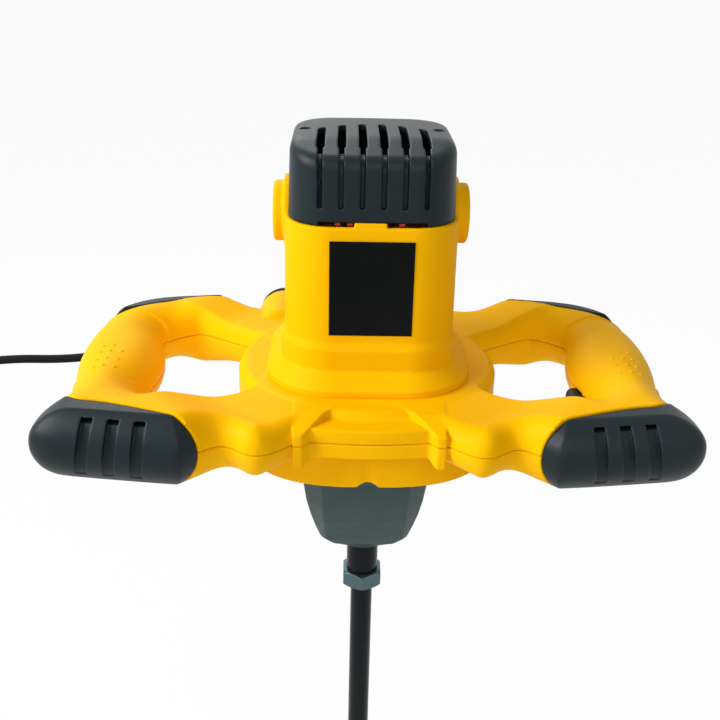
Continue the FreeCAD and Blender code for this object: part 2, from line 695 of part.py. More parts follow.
def gear_face(teeth, module, shift, turn, centre, z):
    """Flat face of an involute gear with its first tooth centred on an angle."""
    pitch = module * teeth / 2
    base = pitch * math.cos(PRESSURE_ANGLE)
    tip = module * (teeth / 2 + TOOTH_TIP_SHARE + shift)
    root = module * (teeth / 2 - TOOTH_ROOT_SHARE + shift)
    thick = module * (math.pi / 2 + 2 * shift * math.tan(PRESSURE_ANGLE)) - BACKLASH / 2
    half = thick / (2 * pitch) + involute(PRESSURE_ANGLE)
    low = max(base, root)
    flank = []
    for i in range(FLANK_STEPS + 1):
        r = low + (tip - low) * i / FLANK_STEPS
        flank.append((r, half - involute(math.acos(min(1.0, base / r)))))
    side = ([(root, flank[0][1])] if root < base else []) + flank
    points = []
    for tooth in range(teeth):
        middle = turn + 2 * math.pi * tooth / teeth
        for r, a in side:
            points.append((r, middle - a))
        for r, a in reversed(side):
            points.append((r, middle + a))
    loop = [V(centre[0] + r * math.cos(a), centre[1] + r * math.sin(a), z) for r, a in points]
    return Part.Face(Part.makePolygon(loop + loop[:1]))


def gear(teeth, module, shift, turn, centre, bottom, width):
    return gear_face(teeth, module, shift, turn, centre, bottom).extrude(V(0, 0, width))


COUNTER_CENTRE = (0.0, GEAR_OFFSET)
FIRST_MODULE = 2 * GEAR_OFFSET / (FIRST_PINION_TEETH + FIRST_GEAR_TEETH)
SECOND_MODULE = 2 * GEAR_OFFSET / (SECOND_PINION_TEETH + SECOND_GEAR_TEETH)
TOWARDS_COUNTER = math.pi / 2
TOWARDS_AXIS = -math.pi / 2


def armature_shaft():
    first_bottom = FIRST_FACE_TOP - FIRST_FACE_WIDTH
    pinion = gear(FIRST_PINION_TEETH, FIRST_MODULE, FIRST_SHIFT_SHARE, TOWARDS_COUNTER, (0.0, 0.0),
                  first_bottom - PINION_OVERLAP, FIRST_FACE_WIDTH + 2 * PINION_OVERLAP)
    lower = cylinder(SHAFT_LOWER_RADIUS - RUN_FIT, FIRST_FACE_TOP, FAN_LIFT)
    middle = cylinder(SHAFT_RADIUS, FAN_LIFT, TOP_BEARING_PLACE - BEARING_GROOVE)
    upper = cylinder(SHAFT_UPPER_RADIUS - RUN_FIT, TOP_BEARING_PLACE - BEARING_GROOVE,
                     TOP_BEARING_PLACE + TOP_BEARING[2] + BEARING_GROOVE)
    return fused([pinion, lower, middle, upper])


def countershaft():
    second_bottom = SECOND_FACE_TOP - SECOND_FACE_WIDTH
    pinion = gear(SECOND_PINION_TEETH, SECOND_MODULE, SECOND_SHIFT_SHARE, TOWARDS_AXIS, COUNTER_CENTRE,
                  second_bottom - PINION_OVERLAP, SECOND_FACE_WIDTH + 2 * PINION_OVERLAP)
    first_bottom = FIRST_FACE_TOP - FIRST_FACE_WIDTH
    seat = cylinder(COUNTER_SHAFT_RADIUS, SECOND_FACE_TOP, FIRST_FACE_TOP, COUNTER_CENTRE)
    shoulder = cylinder(COUNTER_SHAFT_RADIUS + RING_REACH, SECOND_FACE_TOP, first_bottom, COUNTER_CENTRE)
    top_end = COUNTER_UPPER_BEARING[2] - PLATE_DEPTH - BEARING_GROOVE
    top = cylinder(COUNTER_UPPER_BEARING[0] - RUN_FIT, FIRST_FACE_TOP, top_end, COUNTER_CENTRE)
    low = cylinder(COUNTER_LOWER_BEARING[0] - RUN_FIT, SECOND_CHAMBER_FLOOR - COUNTER_LOWER_BEARING[2],
                   second_bottom, COUNTER_CENTRE)
    return fused([pinion, seat, shoulder, top, low])


def countershaft_gear():
    first_bottom = FIRST_FACE_TOP - FIRST_FACE_WIDTH
    gap_turn = TOWARDS_AXIS + math.pi / FIRST_GEAR_TEETH
    wheel = gear(FIRST_GEAR_TEETH, FIRST_MODULE, -FIRST_SHIFT_SHARE, gap_turn, COUNTER_CENTRE,
                 first_bottom, FIRST_FACE_WIDTH)
    return wheel.cut(cylinder(COUNTER_SHAFT_RADIUS, SECOND_FACE_TOP, OVERRUN, COUNTER_CENTRE))


def output_gear():
    bottom = SECOND_FACE_TOP - SECOND_FACE_WIDTH
    gap_turn = TOWARDS_COUNTER + math.pi / SECOND_GEAR_TEETH
    wheel = gear(SECOND_GEAR_TEETH, SECOND_MODULE, -SECOND_SHIFT_SHARE, gap_turn, (0.0, 0.0), bottom,
                 SECOND_FACE_WIDTH)
    wheel = wheel.cut(cylinder(SPINDLE_UPPER_BEARING[0], SPINDLE_END, OVERRUN))
    return wheel.cut(spindle_key())


def spindle_key():
    start = SPINDLE_UPPER_BEARING[0] - KEY_HEIGHT / 2
    return box((start, -KEY_WIDTH / 2, SECOND_FACE_TOP - SECOND_FACE_WIDTH),
               (start + KEY_HEIGHT, KEY_WIDTH / 2, SECOND_FACE_TOP))


def retaining_ring():
    inner = SPINDLE_UPPER_BEARING[0] - RING_GROOVE
    ring = tube(inner + RING_REACH, inner, SECOND_FACE_TOP, SECOND_FACE_TOP + RING_THICK)
    gap = box((0, -KEY_WIDTH / 2, SECOND_FACE_TOP - OVERRUN),
              (inner + RING_REACH + OVERRUN, KEY_WIDTH / 2, SECOND_FACE_TOP + OVERRUN))
    return ring.cut(gap)


def spindle():
    top_radius = SPINDLE_UPPER_BEARING[0]
    low_radius = SPINDLE_LOWER_BEARING[0]
    upper_seat = SECOND_CHAMBER_FLOOR - SPINDLE_UPPER_BEARING[2]
    gear_bottom = SECOND_FACE_TOP - SECOND_FACE_WIDTH
    body = fused([
        cylinder(top_radius, gear_bottom, SPINDLE_TOP),
        cylinder(SPINDLE_SHOULDER_RADIUS, SECOND_CHAMBER_FLOOR + SLIDE_FIT, gear_bottom),
        cylinder(top_radius - RUN_FIT, upper_seat - SLIDE_FIT, SECOND_CHAMBER_FLOOR + SLIDE_FIT),
        cylinder(low_radius - RUN_FIT, SPINDLE_COLLAR_TOP, upper_seat - SLIDE_FIT),
        cylinder(SPINDLE_COLLAR_RADIUS, SPINDLE_END, SPINDLE_COLLAR_TOP),
    ])
    groove = tube(top_radius + OVERRUN, top_radius - RING_GROOVE, SECOND_FACE_TOP,
                  SECOND_FACE_TOP + RING_THICK)
    body = body.cut(cylinder(ROD_RADIUS, SPINDLE_END - OVERRUN, SPINDLE_BORE_TOP))
    return body.cut(spindle_key()).cut(groove)


def bearing(sizes, bottom, centre=(0.0, 0.0)):
    """A ball bearing as one ring, with the grooves between its races and shields."""
    bore, outer, width = sizes
    race = (outer - bore) * BEARING_RING_SHARE
    ring = tube(outer, bore, bottom, bottom + width, centre)
    for low in (bottom, bottom + width - BEARING_GROOVE):
        ring = ring.cut(tube(outer - race, bore + race, low, low + BEARING_GROOVE, centre))
    return ring


# Gear case

def case_section(half_width, half_depth, corner, z):
    """Plan of the case at one level: a box whose corners a circle rounds off."""
    flat_x = math.sqrt(corner * corner - half_depth * half_depth)
    flat_y = math.sqrt(corner * corner - half_width * half_width)
    dip_angle = (math.atan2(half_depth, flat_x) + math.atan2(flat_y, half_width)) / 2
    dip = (corner * math.cos(dip_angle), corner * math.sin(dip_angle))
    edges = []
    for sx, sy in ((1, 1), (-1, 1), (-1, -1), (1, -1)):
        side = V(sx * half_width, sy * flat_y, z)
        end = V(sx * flat_x, sy * half_depth, z)
        middle = V(sx * dip[0], sy * dip[1], z)
        ends = (side, end) if sx * sy > 0 else (end, side)
        edges.append(Part.Arc(ends[0], middle, ends[1]).toShape())
    loop = []
    for i, arc in enumerate(edges):
        after = edges[(i + 1) % len(edges)]
        loop.append(arc)
        loop.append(Part.makeLine(arc.valueAt(arc.LastParameter), after.valueAt(after.FirstParameter)))
    return Part.Wire(loop)


def gear_case():
    top = -HUB_DROP
    sections = []
    for level, wide, deep in CASE_LEVEL_SHARES:
        z = top + (CASE_BOTTOM - top) * level
        corner = CASE_CORNER * (wide + deep) / 2
        sections.append(case_section(CASE_HALF_WIDTH * wide, CASE_HALF_DEPTH * deep, corner, z))
    bowl = Part.makeLoft(sections, True, False)
    flange = cylinder(FLANGE_RADIUS, top, top + FLANGE_THICK)
    cup = cylinder(PLATE_RADIUS, top, -PLATE_DEPTH)
    case = fused([bowl, flange, cup])
    counter = SECOND_MODULE * (SECOND_PINION_TEETH / 2 + 1 + SECOND_SHIFT_SHARE) + PINION_ROOM
    cuts = [
        cylinder(FIRST_CHAMBER_RADIUS, FIRST_CHAMBER_FLOOR, OVERRUN),
        cylinder(SECOND_CHAMBER_RADIUS, SECOND_CHAMBER_FLOOR, FIRST_CHAMBER_FLOOR + OVERRUN),
        cylinder(counter + SLIDE_FIT, SECOND_CHAMBER_FLOOR, FIRST_CHAMBER_FLOOR + OVERRUN, COUNTER_CENTRE),
        cylinder(SPINDLE_UPPER_BEARING[1], SECOND_CHAMBER_FLOOR - SPINDLE_UPPER_BEARING[2],
                 SECOND_CHAMBER_FLOOR + OVERRUN),
        cylinder(COUNTER_LOWER_BEARING[1], SECOND_CHAMBER_FLOOR - COUNTER_LOWER_BEARING[2],
                 SECOND_CHAMBER_FLOOR + OVERRUN, COUNTER_CENTRE),
        cylinder(GREASE_RADIUS, GREASE_BOTTOM, GREASE_TOP),
        cylinder(SPINDLE_LOWER_BEARING[0] + SLIDE_FIT, CASE_BOTTOM - OVERRUN, SECOND_CHAMBER_FLOOR),
        cylinder(SPINDLE_LOWER_BEARING[1], SPINDLE_LOWER_SEAT - SPINDLE_LOWER_BEARING[2],
                 GREASE_BOTTOM + RUN_FIT),
        cylinder(SEAL_RADIUS, CASE_BOTTOM - OVERRUN, SEAL_TOP),
    ]
    for place in case_screw_places():
        cuts.append(cylinder(CASE_SCREW_RADIUS + HOLE_FIT, top - OVERRUN, OVERRUN, place))
        head_hole = CASE_SCREW_HEAD_RADIUS + HOLE_FIT
        cuts.append(cylinder(head_hole, top - OVERRUN, top + CASE_SCREW_HEAD, place))
    for piece in cuts:
        case = case.cut(piece)
    return case


def gear_plate():
    plate = cylinder(PLATE_RADIUS, -PLATE_DEPTH, 0)
    plate = plate.cut(cylinder(LOWER_BEARING[1], -PLATE_DEPTH - OVERRUN, OVERRUN))
    plate = plate.cut(cylinder(COUNTER_UPPER_BEARING[1], -PLATE_DEPTH - OVERRUN, -PLATE_DEPTH +
                               COUNTER_UPPER_BEARING[2], COUNTER_CENTRE))
    for place in case_screw_places():
        plate = plate.cut(cylinder(CASE_SCREW_RADIUS + HOLE_FIT, -PLATE_DEPTH - OVERRUN, OVERRUN, place))
    return plate


def case_gasket():
    return tube(FLANGE_RADIUS, PLATE_RADIUS + HOLE_FIT, -HUB_DROP + FLANGE_THICK, web_bottom())


# Motor inner pieces

def stator_core():
    half = HOUSING_HALF - HOUSING_WALL - STATOR_GAP
    corner = HOUSING_CORNER - HOUSING_WALL
    top = STATOR_BOTTOM + STATOR_LENGTH
    core = rounded_block(half, corner, STATOR_BOTTOM, half, corner, top)
    return core.cut(cylinder(STATOR_BORE, ARM_ROOT_TOP, CAP_TOP)).cut(pole_window(0.0))


def pole_window(inset):
    """The two spaces beside the poles that the field coils lie in."""
    top = STATOR_BOTTOM + STATOR_LENGTH
    ring = tube(STATOR_WINDOW - inset, STATOR_BORE + inset, STATOR_BOTTOM - COIL_HEAD, top + COIL_HEAD)
    half = STATOR_POLE_HALF + inset
    pole = box((-half, -FAN_RADIUS - OVERRUN, ARM_ROOT_TOP), (half, FAN_RADIUS + OVERRUN, CAP_TOP))
    return ring.cut(pole)


def stator_coils():
    top = STATOR_BOTTOM + STATOR_LENGTH
    inner = STATOR_BORE + COIL_INSET
    heads = [tube(COIL_HEAD_RADIUS, inner, top + COIL_INSET, top + COIL_HEAD),
             tube(COIL_HEAD_RADIUS, inner, STATOR_BOTTOM - COIL_HEAD, STATOR_BOTTOM - COIL_INSET)]
    return fused([pole_window(COIL_INSET)] + heads)


def armature_core():
    radius = STATOR_BORE - ARMATURE_GAP
    bottom = STATOR_BOTTOM + ARMATURE_SHORTER / 2
    top = STATOR_BOTTOM + STATOR_LENGTH - ARMATURE_SHORTER / 2
    core = tube(radius, SHAFT_RADIUS, bottom, top)
    for i in range(ARMATURE_SLOTS):
        half = ARMATURE_SLOT_WIDTH / 2
        slot = box((radius - ARMATURE_SLOT_DEPTH, -half, bottom - OVERRUN),
                   (radius + OVERRUN, half, top + OVERRUN))
        core = core.cut(slot.rotate(CENTRE, Z_AXIS, 360 * i / ARMATURE_SLOTS))
    return core


def armature_windings():
    bottom = STATOR_BOTTOM + ARMATURE_SHORTER / 2
    top = STATOR_BOTTOM + STATOR_LENGTH - ARMATURE_SHORTER / 2
    heads = []
    for low, high, tip in ((bottom, bottom - WINDING_HEAD, -1), (top, top + WINDING_HEAD, 1)):
        waist = low + tip * WINDING_HEAD / 2
        narrow = (WINDING_RADIUS + SHAFT_RADIUS) / 2
        heads.append(turned([(SHAFT_RADIUS, low), (WINDING_RADIUS, low), (WINDING_RADIUS, waist),
                             (narrow, high), (SHAFT_RADIUS, high)]))
    return Part.makeCompound(heads)


def commutator():
    bottom = BRUSH_HEIGHT - COMMUTATOR_LENGTH / 2
    top = BRUSH_HEIGHT + COMMUTATOR_LENGTH / 2
    drum = tube(COMMUTATOR_RADIUS, SHAFT_RADIUS, bottom, top)
    for i in range(COMMUTATOR_BARS):
        half = COMMUTATOR_CUT / 2
        cut = box((COMMUTATOR_RADIUS - COMMUTATOR_CUT, -half, bottom - OVERRUN),
                  (COMMUTATOR_RADIUS + OVERRUN, half, top + OVERRUN))
        drum = drum.cut(cut.rotate(CENTRE, Z_AXIS, 360 * i / COMMUTATOR_BARS))
    return drum


def motor_fan():
    top = FAN_LIFT + FAN_HEIGHT
    pieces = [cylinder(FAN_RADIUS, top - FAN_DISC, top), cylinder(FAN_HUB, FAN_LIFT, top)]
    for i in range(FAN_BLADES):
        half = FAN_BLADE_THICK / 2
        blade = box((FAN_HUB - half, -half, FAN_LIFT), (FAN_RADIUS - half, half, top - FAN_DISC + RUN_FIT))
        pieces.append(blade.rotate(CENTRE, Z_AXIS, 360 * i / FAN_BLADES))
    return fused(pieces).cut(cylinder(SHAFT_RADIUS, -OVERRUN, CAP_TOP))


def brush_set(side):
    """Holder, brush, spring and cap of one side, the holder fixed in the housing's boss."""
    cap_start = BRUSH_BOSS_REACH - BRUSH_CAP_LENGTH
    start = COMMUTATOR_RADIUS + BRUSH_HOLDER_GAP
    half_wide = BRUSH_WIDTH / 2
    half_thick = BRUSH_THICK / 2
    brush_start = COMMUTATOR_RADIUS + RUN_FIT
    brush_end = brush_start + BRUSH_LENGTH
    holder = rod_x(BRUSH_HOLDER_RADIUS, start, cap_start, 0, BRUSH_HEIGHT)
    channel = box((start - OVERRUN, -half_wide - HOLE_FIT, BRUSH_HEIGHT - half_thick - HOLE_FIT),
                  (cap_start + OVERRUN, half_wide + HOLE_FIT, BRUSH_HEIGHT + half_thick + HOLE_FIT))
    brush = box((brush_start, -half_wide, BRUSH_HEIGHT - half_thick),
                (brush_end, half_wide, BRUSH_HEIGHT + half_thick))
    spring = rod_x(BRUSH_SPRING_RADIUS, brush_end, cap_start, 0, BRUSH_HEIGHT)
    spring = spring.cut(rod_x(BRUSH_SPRING_RADIUS - BRUSH_SPRING_WIRE, brush_end - OVERRUN,
                              cap_start + OVERRUN, 0, BRUSH_HEIGHT))
    cap = rod_x(BRUSH_CAP_RADIUS, cap_start, BRUSH_BOSS_REACH - RUN_FIT, 0, BRUSH_HEIGHT)
    slot_half = BRUSH_CAP_SLOT / 2
    slot = box((BRUSH_BOSS_REACH - BRUSH_CAP_SLOT, -BRUSH_CAP_RADIUS, BRUSH_HEIGHT - slot_half),
               (BRUSH_BOSS_REACH + OVERRUN, BRUSH_CAP_RADIUS, BRUSH_HEIGHT + slot_half))
    pieces = [holder.cut(channel), brush, spring, cap.cut(slot)]
    return [mirrored_x(p) for p in pieces] if side < 0 else pieces


# Rod, nut and paddle

def lock_nut():
    radius = NUT_FLATS / math.sqrt(3)
    top = SPINDLE_END
    bottom = SPINDLE_END - NUT_HEIGHT
    corners = []
    for i in range(6):
        angle = -math.pi / 2 + i * math.pi / 3
        corners.append(V(radius * math.cos(angle), radius * math.sin(angle), bottom))
    hexagon = Part.Face(Part.makePolygon(corners + corners[:1])).extrude(V(0, 0, NUT_HEIGHT))
    inner = NUT_FLATS / 2
    slope = radius - inner
    blank = turned([(0, bottom), (inner, bottom), (radius, bottom + slope / 2), (radius, top - slope / 2),
                    (inner, top), (0, top)])
    return hexagon.common(blank).cut(cylinder(ROD_RADIUS, bottom - OVERRUN, top + OVERRUN))


def mixing_rod():
    rod = cylinder(ROD_RADIUS, ROD_END, SPINDLE_BORE_TOP)
    ends = [e for e in rod.Edges if abs(e.CenterOfMass.z - ROD_END) < RUN_FIT]
    return rod.makeChamfer(NUT_CHAMFER, ends)


def paddle_ring(bottom):
    ring = tube(PADDLE_RADIUS, PADDLE_RADIUS - PADDLE_BAR_THICK, bottom, bottom + PADDLE_BAR_WIDTH)
    spokes = []
    for i in range(PADDLE_BARS):
        half = PADDLE_BAR_THICK / 2
        spoke = box((0, -half, bottom), (PADDLE_RADIUS - half, half, bottom + PADDLE_BAR_WIDTH))
        spokes.append(spoke.rotate(CENTRE, Z_AXIS, 360 * i / PADDLE_BARS))
    whole = fused([ring] + spokes)
    return whole.cut(cylinder(ROD_RADIUS, ROD_END - OVERRUN, SPINDLE_END))


def paddle_blade(turn):
    """A bar that winds up from the lower ring to the upper one."""
    sections = []
    inner = PADDLE_RADIUS - PADDLE_BAR_THICK - PADDLE_BAR_WIDTH
    outer = PADDLE_RADIUS - PADDLE_BAR_THICK
    low = ROD_END + 2 * PADDLE_BAR_WIDTH
    high = ROD_END + PADDLE_HEIGHT
    for i in range(PADDLE_LEVELS + 1):
        share = i / PADDLE_LEVELS
        angle = turn + PADDLE_TWIST * share
        z = low + (high - low) * share
        along = V(math.cos(angle), math.sin(angle), 0)
        across = V(-math.sin(angle), math.cos(angle), 0) * (PADDLE_BAR_THICK / 2)
        lift = V(0, 0, z)
        corners = [along * inner - across + lift, along * outer - across + lift,
                   along * outer + across + lift, along * inner + across + lift]
        sections.append(Part.makePolygon(corners + corners[:1]))
    return Part.makeLoft(sections, True, False)


# Trigger, switch, button and dial

def trigger_block(grow):
    return box((TRIGGER_FACE - grow, TRIGGER_FRONT - grow, TRIGGER_BOTTOM - grow),
               (TRIGGER_REAR, TRIGGER_BACK + grow, TRIGGER_TOP + grow))


def trigger_lip(grow):
    """Flange that keeps the trigger from dropping out of the grip."""
    return box((TRIGGER_LIP_PLACE, TRIGGER_FRONT - TRIGGER_LIP - grow, TRIGGER_BOTTOM - grow),
               (TRIGGER_REAR + grow, TRIGGER_BACK + TRIGGER_LIP + grow, TRIGGER_TOP + grow))


def plunger_height():
    return (TRIGGER_BOTTOM + TRIGGER_TOP) / 2


def plunger_place():
    return (TRIGGER_FRONT + TRIGGER_BACK) / 2


def trigger():
    block = trigger_block(0.0)
    front = [e for e in block.Edges if abs(e.CenterOfMass.x - TRIGGER_FACE) < RUN_FIT]
    block = block.makeFillet(TRIGGER_ROUND, front)
    plunger = rod_x(PLUNGER_RADIUS, TRIGGER_REAR - PLUNGER_RADIUS, SWITCH_START + PLUNGER_REACH,
                    plunger_place(), plunger_height())
    return fused([block, trigger_lip(0.0), plunger])


def trigger_spring():
    place = (plunger_place(), plunger_height())
    inner = PLUNGER_RADIUS + SLIDE_FIT
    coil = rod_x(inner + SPRING_WALL, TRIGGER_REAR + RUN_FIT, SWITCH_START - RUN_FIT, *place)
    return coil.cut(rod_x(inner, TRIGGER_REAR - OVERRUN, SWITCH_START + OVERRUN, *place))


def switch_body():
    length_half = SWITCH_LENGTH / 2
    place = plunger_place()
    body = box((SWITCH_START, place - length_half, SWITCH_FLOOR),
               (SWITCH_START + SWITCH_WIDTH, place + length_half, SWITCH_FLOOR + SWITCH_HEIGHT))
    bore_end = SWITCH_START + PLUNGER_REACH + TRIGGER_TRAVEL + SLIDE_FIT
    bore = rod_x(PLUNGER_RADIUS + SLIDE_FIT, SWITCH_START - OVERRUN, bore_end, place, plunger_height())
    body = body.cut(bore)
    pocket_top = -CAVITY_HALF_HEIGHT + BUTTON_FLANGE + BUTTON_TRAVEL + SLIDE_FIT
    body = body.cut(cylinder(BUTTON_RADIUS + BUTTON_FLANGE + SLIDE_FIT, SWITCH_FLOOR - OVERRUN, pocket_top,
                             BUTTON_PLACE))
    clip = box((SWITCH_START + SWITCH_WIDTH / 2, place - length_half, -CAVITY_HALF_HEIGHT),
               (SWITCH_START + SWITCH_WIDTH, place, SWITCH_FLOOR))
    return fused([body, clip])


def lock_button():
    low = -HANDLE_HALF_HEIGHT - BUTTON_PROUD
    floor = -CAVITY_HALF_HEIGHT
    stem = cylinder(BUTTON_RADIUS, low, floor + BUTTON_FLANGE, BUTTON_PLACE)
    rim = [e for e in stem.Edges if abs(e.CenterOfMass.z - low) < RUN_FIT]
    stem = stem.makeFillet(BUTTON_FLANGE, rim)
    flange = cylinder(BUTTON_RADIUS + BUTTON_FLANGE, floor + RUN_FIT, floor + BUTTON_FLANGE, BUTTON_PLACE)
    return fused([stem, flange])


def dial_axis():
    return (DIAL_PLACE, DIAL_HEIGHT)


def speed_dial():
    knob = rod_y(DIAL_RADIUS, DIAL_START, DIAL_START + DIAL_LENGTH, *dial_axis())
    for i in range(DIAL_GROOVES):
        angle = 2 * math.pi * i / DIAL_GROOVES
        groove = rod_y(DIAL_GROOVE_RADIUS, DIAL_START - OVERRUN, DIAL_START + DIAL_LENGTH + OVERRUN,
                       DIAL_PLACE + DIAL_RADIUS * math.cos(angle), DIAL_HEIGHT + DIAL_RADIUS * math.sin(angle))
        knob = knob.cut(groove)
    shaft = rod_y(DIAL_SHAFT_RADIUS, MODULE_FRONT + MODULE_DEPTH / 2, DIAL_START + RUN_FIT, *dial_axis())
    return fused([knob, shaft])


def speed_module():
    floor = HANDLE_WALL - ARM_ROOT_BOTTOM
    half = MODULE_WIDTH / 2
    body = box((DIAL_PLACE - half, MODULE_FRONT, floor),
               (DIAL_PLACE + half, MODULE_FRONT + MODULE_DEPTH, floor + MODULE_HEIGHT))
    hole = rod_y(DIAL_SHAFT_RADIUS + RUN_FIT, MODULE_FRONT + MODULE_DEPTH / 2 - SLIDE_FIT,
                 MODULE_FRONT + MODULE_DEPTH + OVERRUN, *dial_axis())
    return body.cut(hole)


# Fasteners

def handle_screws():
    screws = []
    for place in screw_places():
        head = cylinder(SCREW_HEAD_RADIUS, SCREW_SEAT - SCREW_HEAD, SCREW_SEAT, place)
        shank = cylinder(SCREW_RADIUS, SCREW_SEAT, SCREW_TIP, place)
        cross = SCREW_RADIUS / 2
        drive = box((place[0] - SCREW_RADIUS, place[1] - cross / 2, SCREW_SEAT - SCREW_HEAD - OVERRUN),
                    (place[0] + SCREW_RADIUS, place[1] + cross / 2, SCREW_SEAT - SCREW_HEAD + cross))
        screws.append(fused([head, shank]).cut(drive))
    return Part.makeCompound(screws)


def cap_screws():
    screws = []
    for side in (-1, 1):
        place = (side * CAP_SCREW_PLACE, CAP_SCREW_BACK)
        head = cylinder(SCREW_HEAD_RADIUS - 2 * HOLE_FIT, CAP_SCREW_SEAT, CAP_SCREW_SEAT + SCREW_HEAD, place)
        shank = cylinder(SCREW_RADIUS, cap_screw_tip(), CAP_SCREW_SEAT, place)
        screws.append(fused([head, shank]))
    return Part.makeCompound(screws)


def case_screws():
    screws = []
    seat = -HUB_DROP + CASE_SCREW_HEAD
    for place in case_screw_places():
        head = cylinder(CASE_SCREW_HEAD_RADIUS, -HUB_DROP, seat, place)
        head = head.cut(cylinder(CASE_SCREW_RADIUS, -HUB_DROP - OVERRUN, seat - CASE_SCREW_RADIUS, place))
        shank = cylinder(CASE_SCREW_RADIUS, seat, CASE_SCREW_TOP, place)
        screws.append(fused([head, shank]))
    return Part.makeCompound(screws)


# Cord, sleeve, clamp and plug

def sleeve_way():
    return V(*SLEEVE_LEAN_SHARES).normalize()


def sleeve_root():
    return V(BOSS_PLACE, BOSS_END + SLEEVE_COLLAR_THICK / 2, 0)


def cord_start():
    return sleeve_root() + sleeve_way() * SLEEVE_LENGTH


def cord_sleeve():
    """Rubber sleeve: a plug and collar in the boss, and a ribbed, tapering tail that leans down."""
    step = SLEEVE_LENGTH / (2 * SLEEVE_RIBS)
    profile = [(0.0, 0.0)]
    for i in range(2 * SLEEVE_RIBS + 1):
        share = i / (2 * SLEEVE_RIBS)
        radius = SLEEVE_ROOT + (SLEEVE_TIP - SLEEVE_ROOT) * share
        dip = SLEEVE_RIB_DEPTH if i % 2 else 0.0
        profile.append((radius - dip, step * i))
    profile.append((0.0, SLEEVE_LENGTH))
    tail = turned(profile)
    tail.Placement = FreeCAD.Placement(sleeve_root(), FreeCAD.Rotation(Z_AXIS, sleeve_way()))
    plug = rod_y(BOSS_BORE, BOSS_START, BOSS_END, BOSS_PLACE, 0)
    collar = rod_y(SLEEVE_COLLAR_RADIUS, BOSS_END, BOSS_END + SLEEVE_COLLAR_THICK, BOSS_PLACE, 0)
    return fused([plug, collar, tail])


def biarc(start, start_way, end, end_way):
    """Two arcs from one point and direction to another, meeting smoothly."""
    chord = end - start
    ways = start_way + end_way
    spread = 2 * (1 - start_way.dot(end_way))
    along = chord.dot(ways)
    root = math.sqrt(along * along + spread * chord.dot(chord))
    reach = (root - along) / spread
    middle = (start + end + (start_way - end_way) * reach) * 0.5
    return [arc_from(start, start_way, middle), arc_from(end, end_way * -1, middle)]


def arc_from(start, way, end):
    chord = end - start
    half = chord.Length / 2
    unit = V(chord).normalize()
    lean = way - unit * way.dot(unit)
    angle = math.atan2(lean.Length, way.dot(unit))
    crown = (start + end) * 0.5 + lean.normalize() * (half * math.tan(angle / 2))
    return Part.Arc(start, crown, end).toShape()


def rounded_path(points):
    """Straight runs joined by the largest tangent arcs that the runs allow, with radii printed."""
    edges = []
    last = points[0]
    for before, corner, after in zip(points, points[1:], points[2:]):
        back = (before - corner).normalize()
        ahead = (after - corner).normalize()
        turn = math.pi - back.getAngle(ahead)
        reach = ROUTE_REACH_SHARE * min((before - corner).Length, (after - corner).Length)
        radius = reach / math.tan(turn / 2)
        print(f"cord turn {math.degrees(turn):.0f} deg, radius {radius:.0f}")
        first = corner + back * reach
        second = corner + ahead * reach
        bisector = (back + ahead).normalize()
        crown = corner + bisector * (radius / math.cos(turn / 2) - radius)
        edges.append(Part.makeLine(last, first))
        edges.append(Part.Arc(first, crown, second).toShape())
        last = second
    edges.append(Part.makeLine(last, points[-1]))
    return Part.Wire(edges)


def swept(path, way, radius):
    """Round tube along a path that starts in a given direction."""
    start = path.Edges[0].valueAt(path.Edges[0].FirstParameter)
    circle = Part.Wire(Part.makeCircle(radius, start, way))
    sweep = Part.BRepOffsetAPI.MakePipeShell(path)
    sweep.add(circle)
    sweep.build()
    sweep.makeSolid()
    return Part.Solid(sweep.shape())


def cord():
    points = [cord_start(), cord_start() + sleeve_way() * CORD_LEAD] + [V(*p) for p in CORD_ROUTE]
    path = rounded_path(points)
    solid = swept(path, points[1] - points[0], CORD_DIAMETER / 2)
    print(f"cord length {path.Length:.0f}, volume share "
          f"{solid.Volume / (path.Length * math.pi * CORD_DIAMETER ** 2 / 4):.3f}")
    return solid


def coil_state(turns):
    """Radius and layer of the put-away coil's line after a number of turns."""
    step = CORD_DIAMETER + COIL_GAP
    climbed = turns - COIL_TURNS_IN
    if climbed <= 0:
        return COIL_RADIUS - step * climbed, 0.0
    if climbed <= COIL_CLIMB:
        return COIL_RADIUS, step * climbed / COIL_CLIMB
    return COIL_RADIUS + step * (climbed - COIL_CLIMB), step


def coil_point(turns):
    """The coil hangs in an upright plane, and its line comes in over the top of it."""
    radius, layer = coil_state(turns)
    angle = math.pi / 2 + 2 * math.pi * turns
    middle = coil_middle()
    return V(middle.x + radius * math.cos(angle), middle.y + layer, middle.z + radius * math.sin(angle))


def coil_middle():
    end = CORD_ROUTE[-1]
    return V(end[0], end[1], end[2] - coil_state(0.0)[0])


def coil_turns():
    return COIL_TURNS_IN + COIL_CLIMB + COIL_TURNS_OUT


def coil_way(turns):
    small = RUN_FIT / CORD_DIAMETER
    if turns <= 0:
        return -X_AXIS
    if turns >= coil_turns():
        return -Z_AXIS
    return (coil_point(turns + small) - coil_point(turns - small)).normalize()


def coil_end():
    return coil_point(coil_turns()) - Z_AXIS * COIL_TAIL


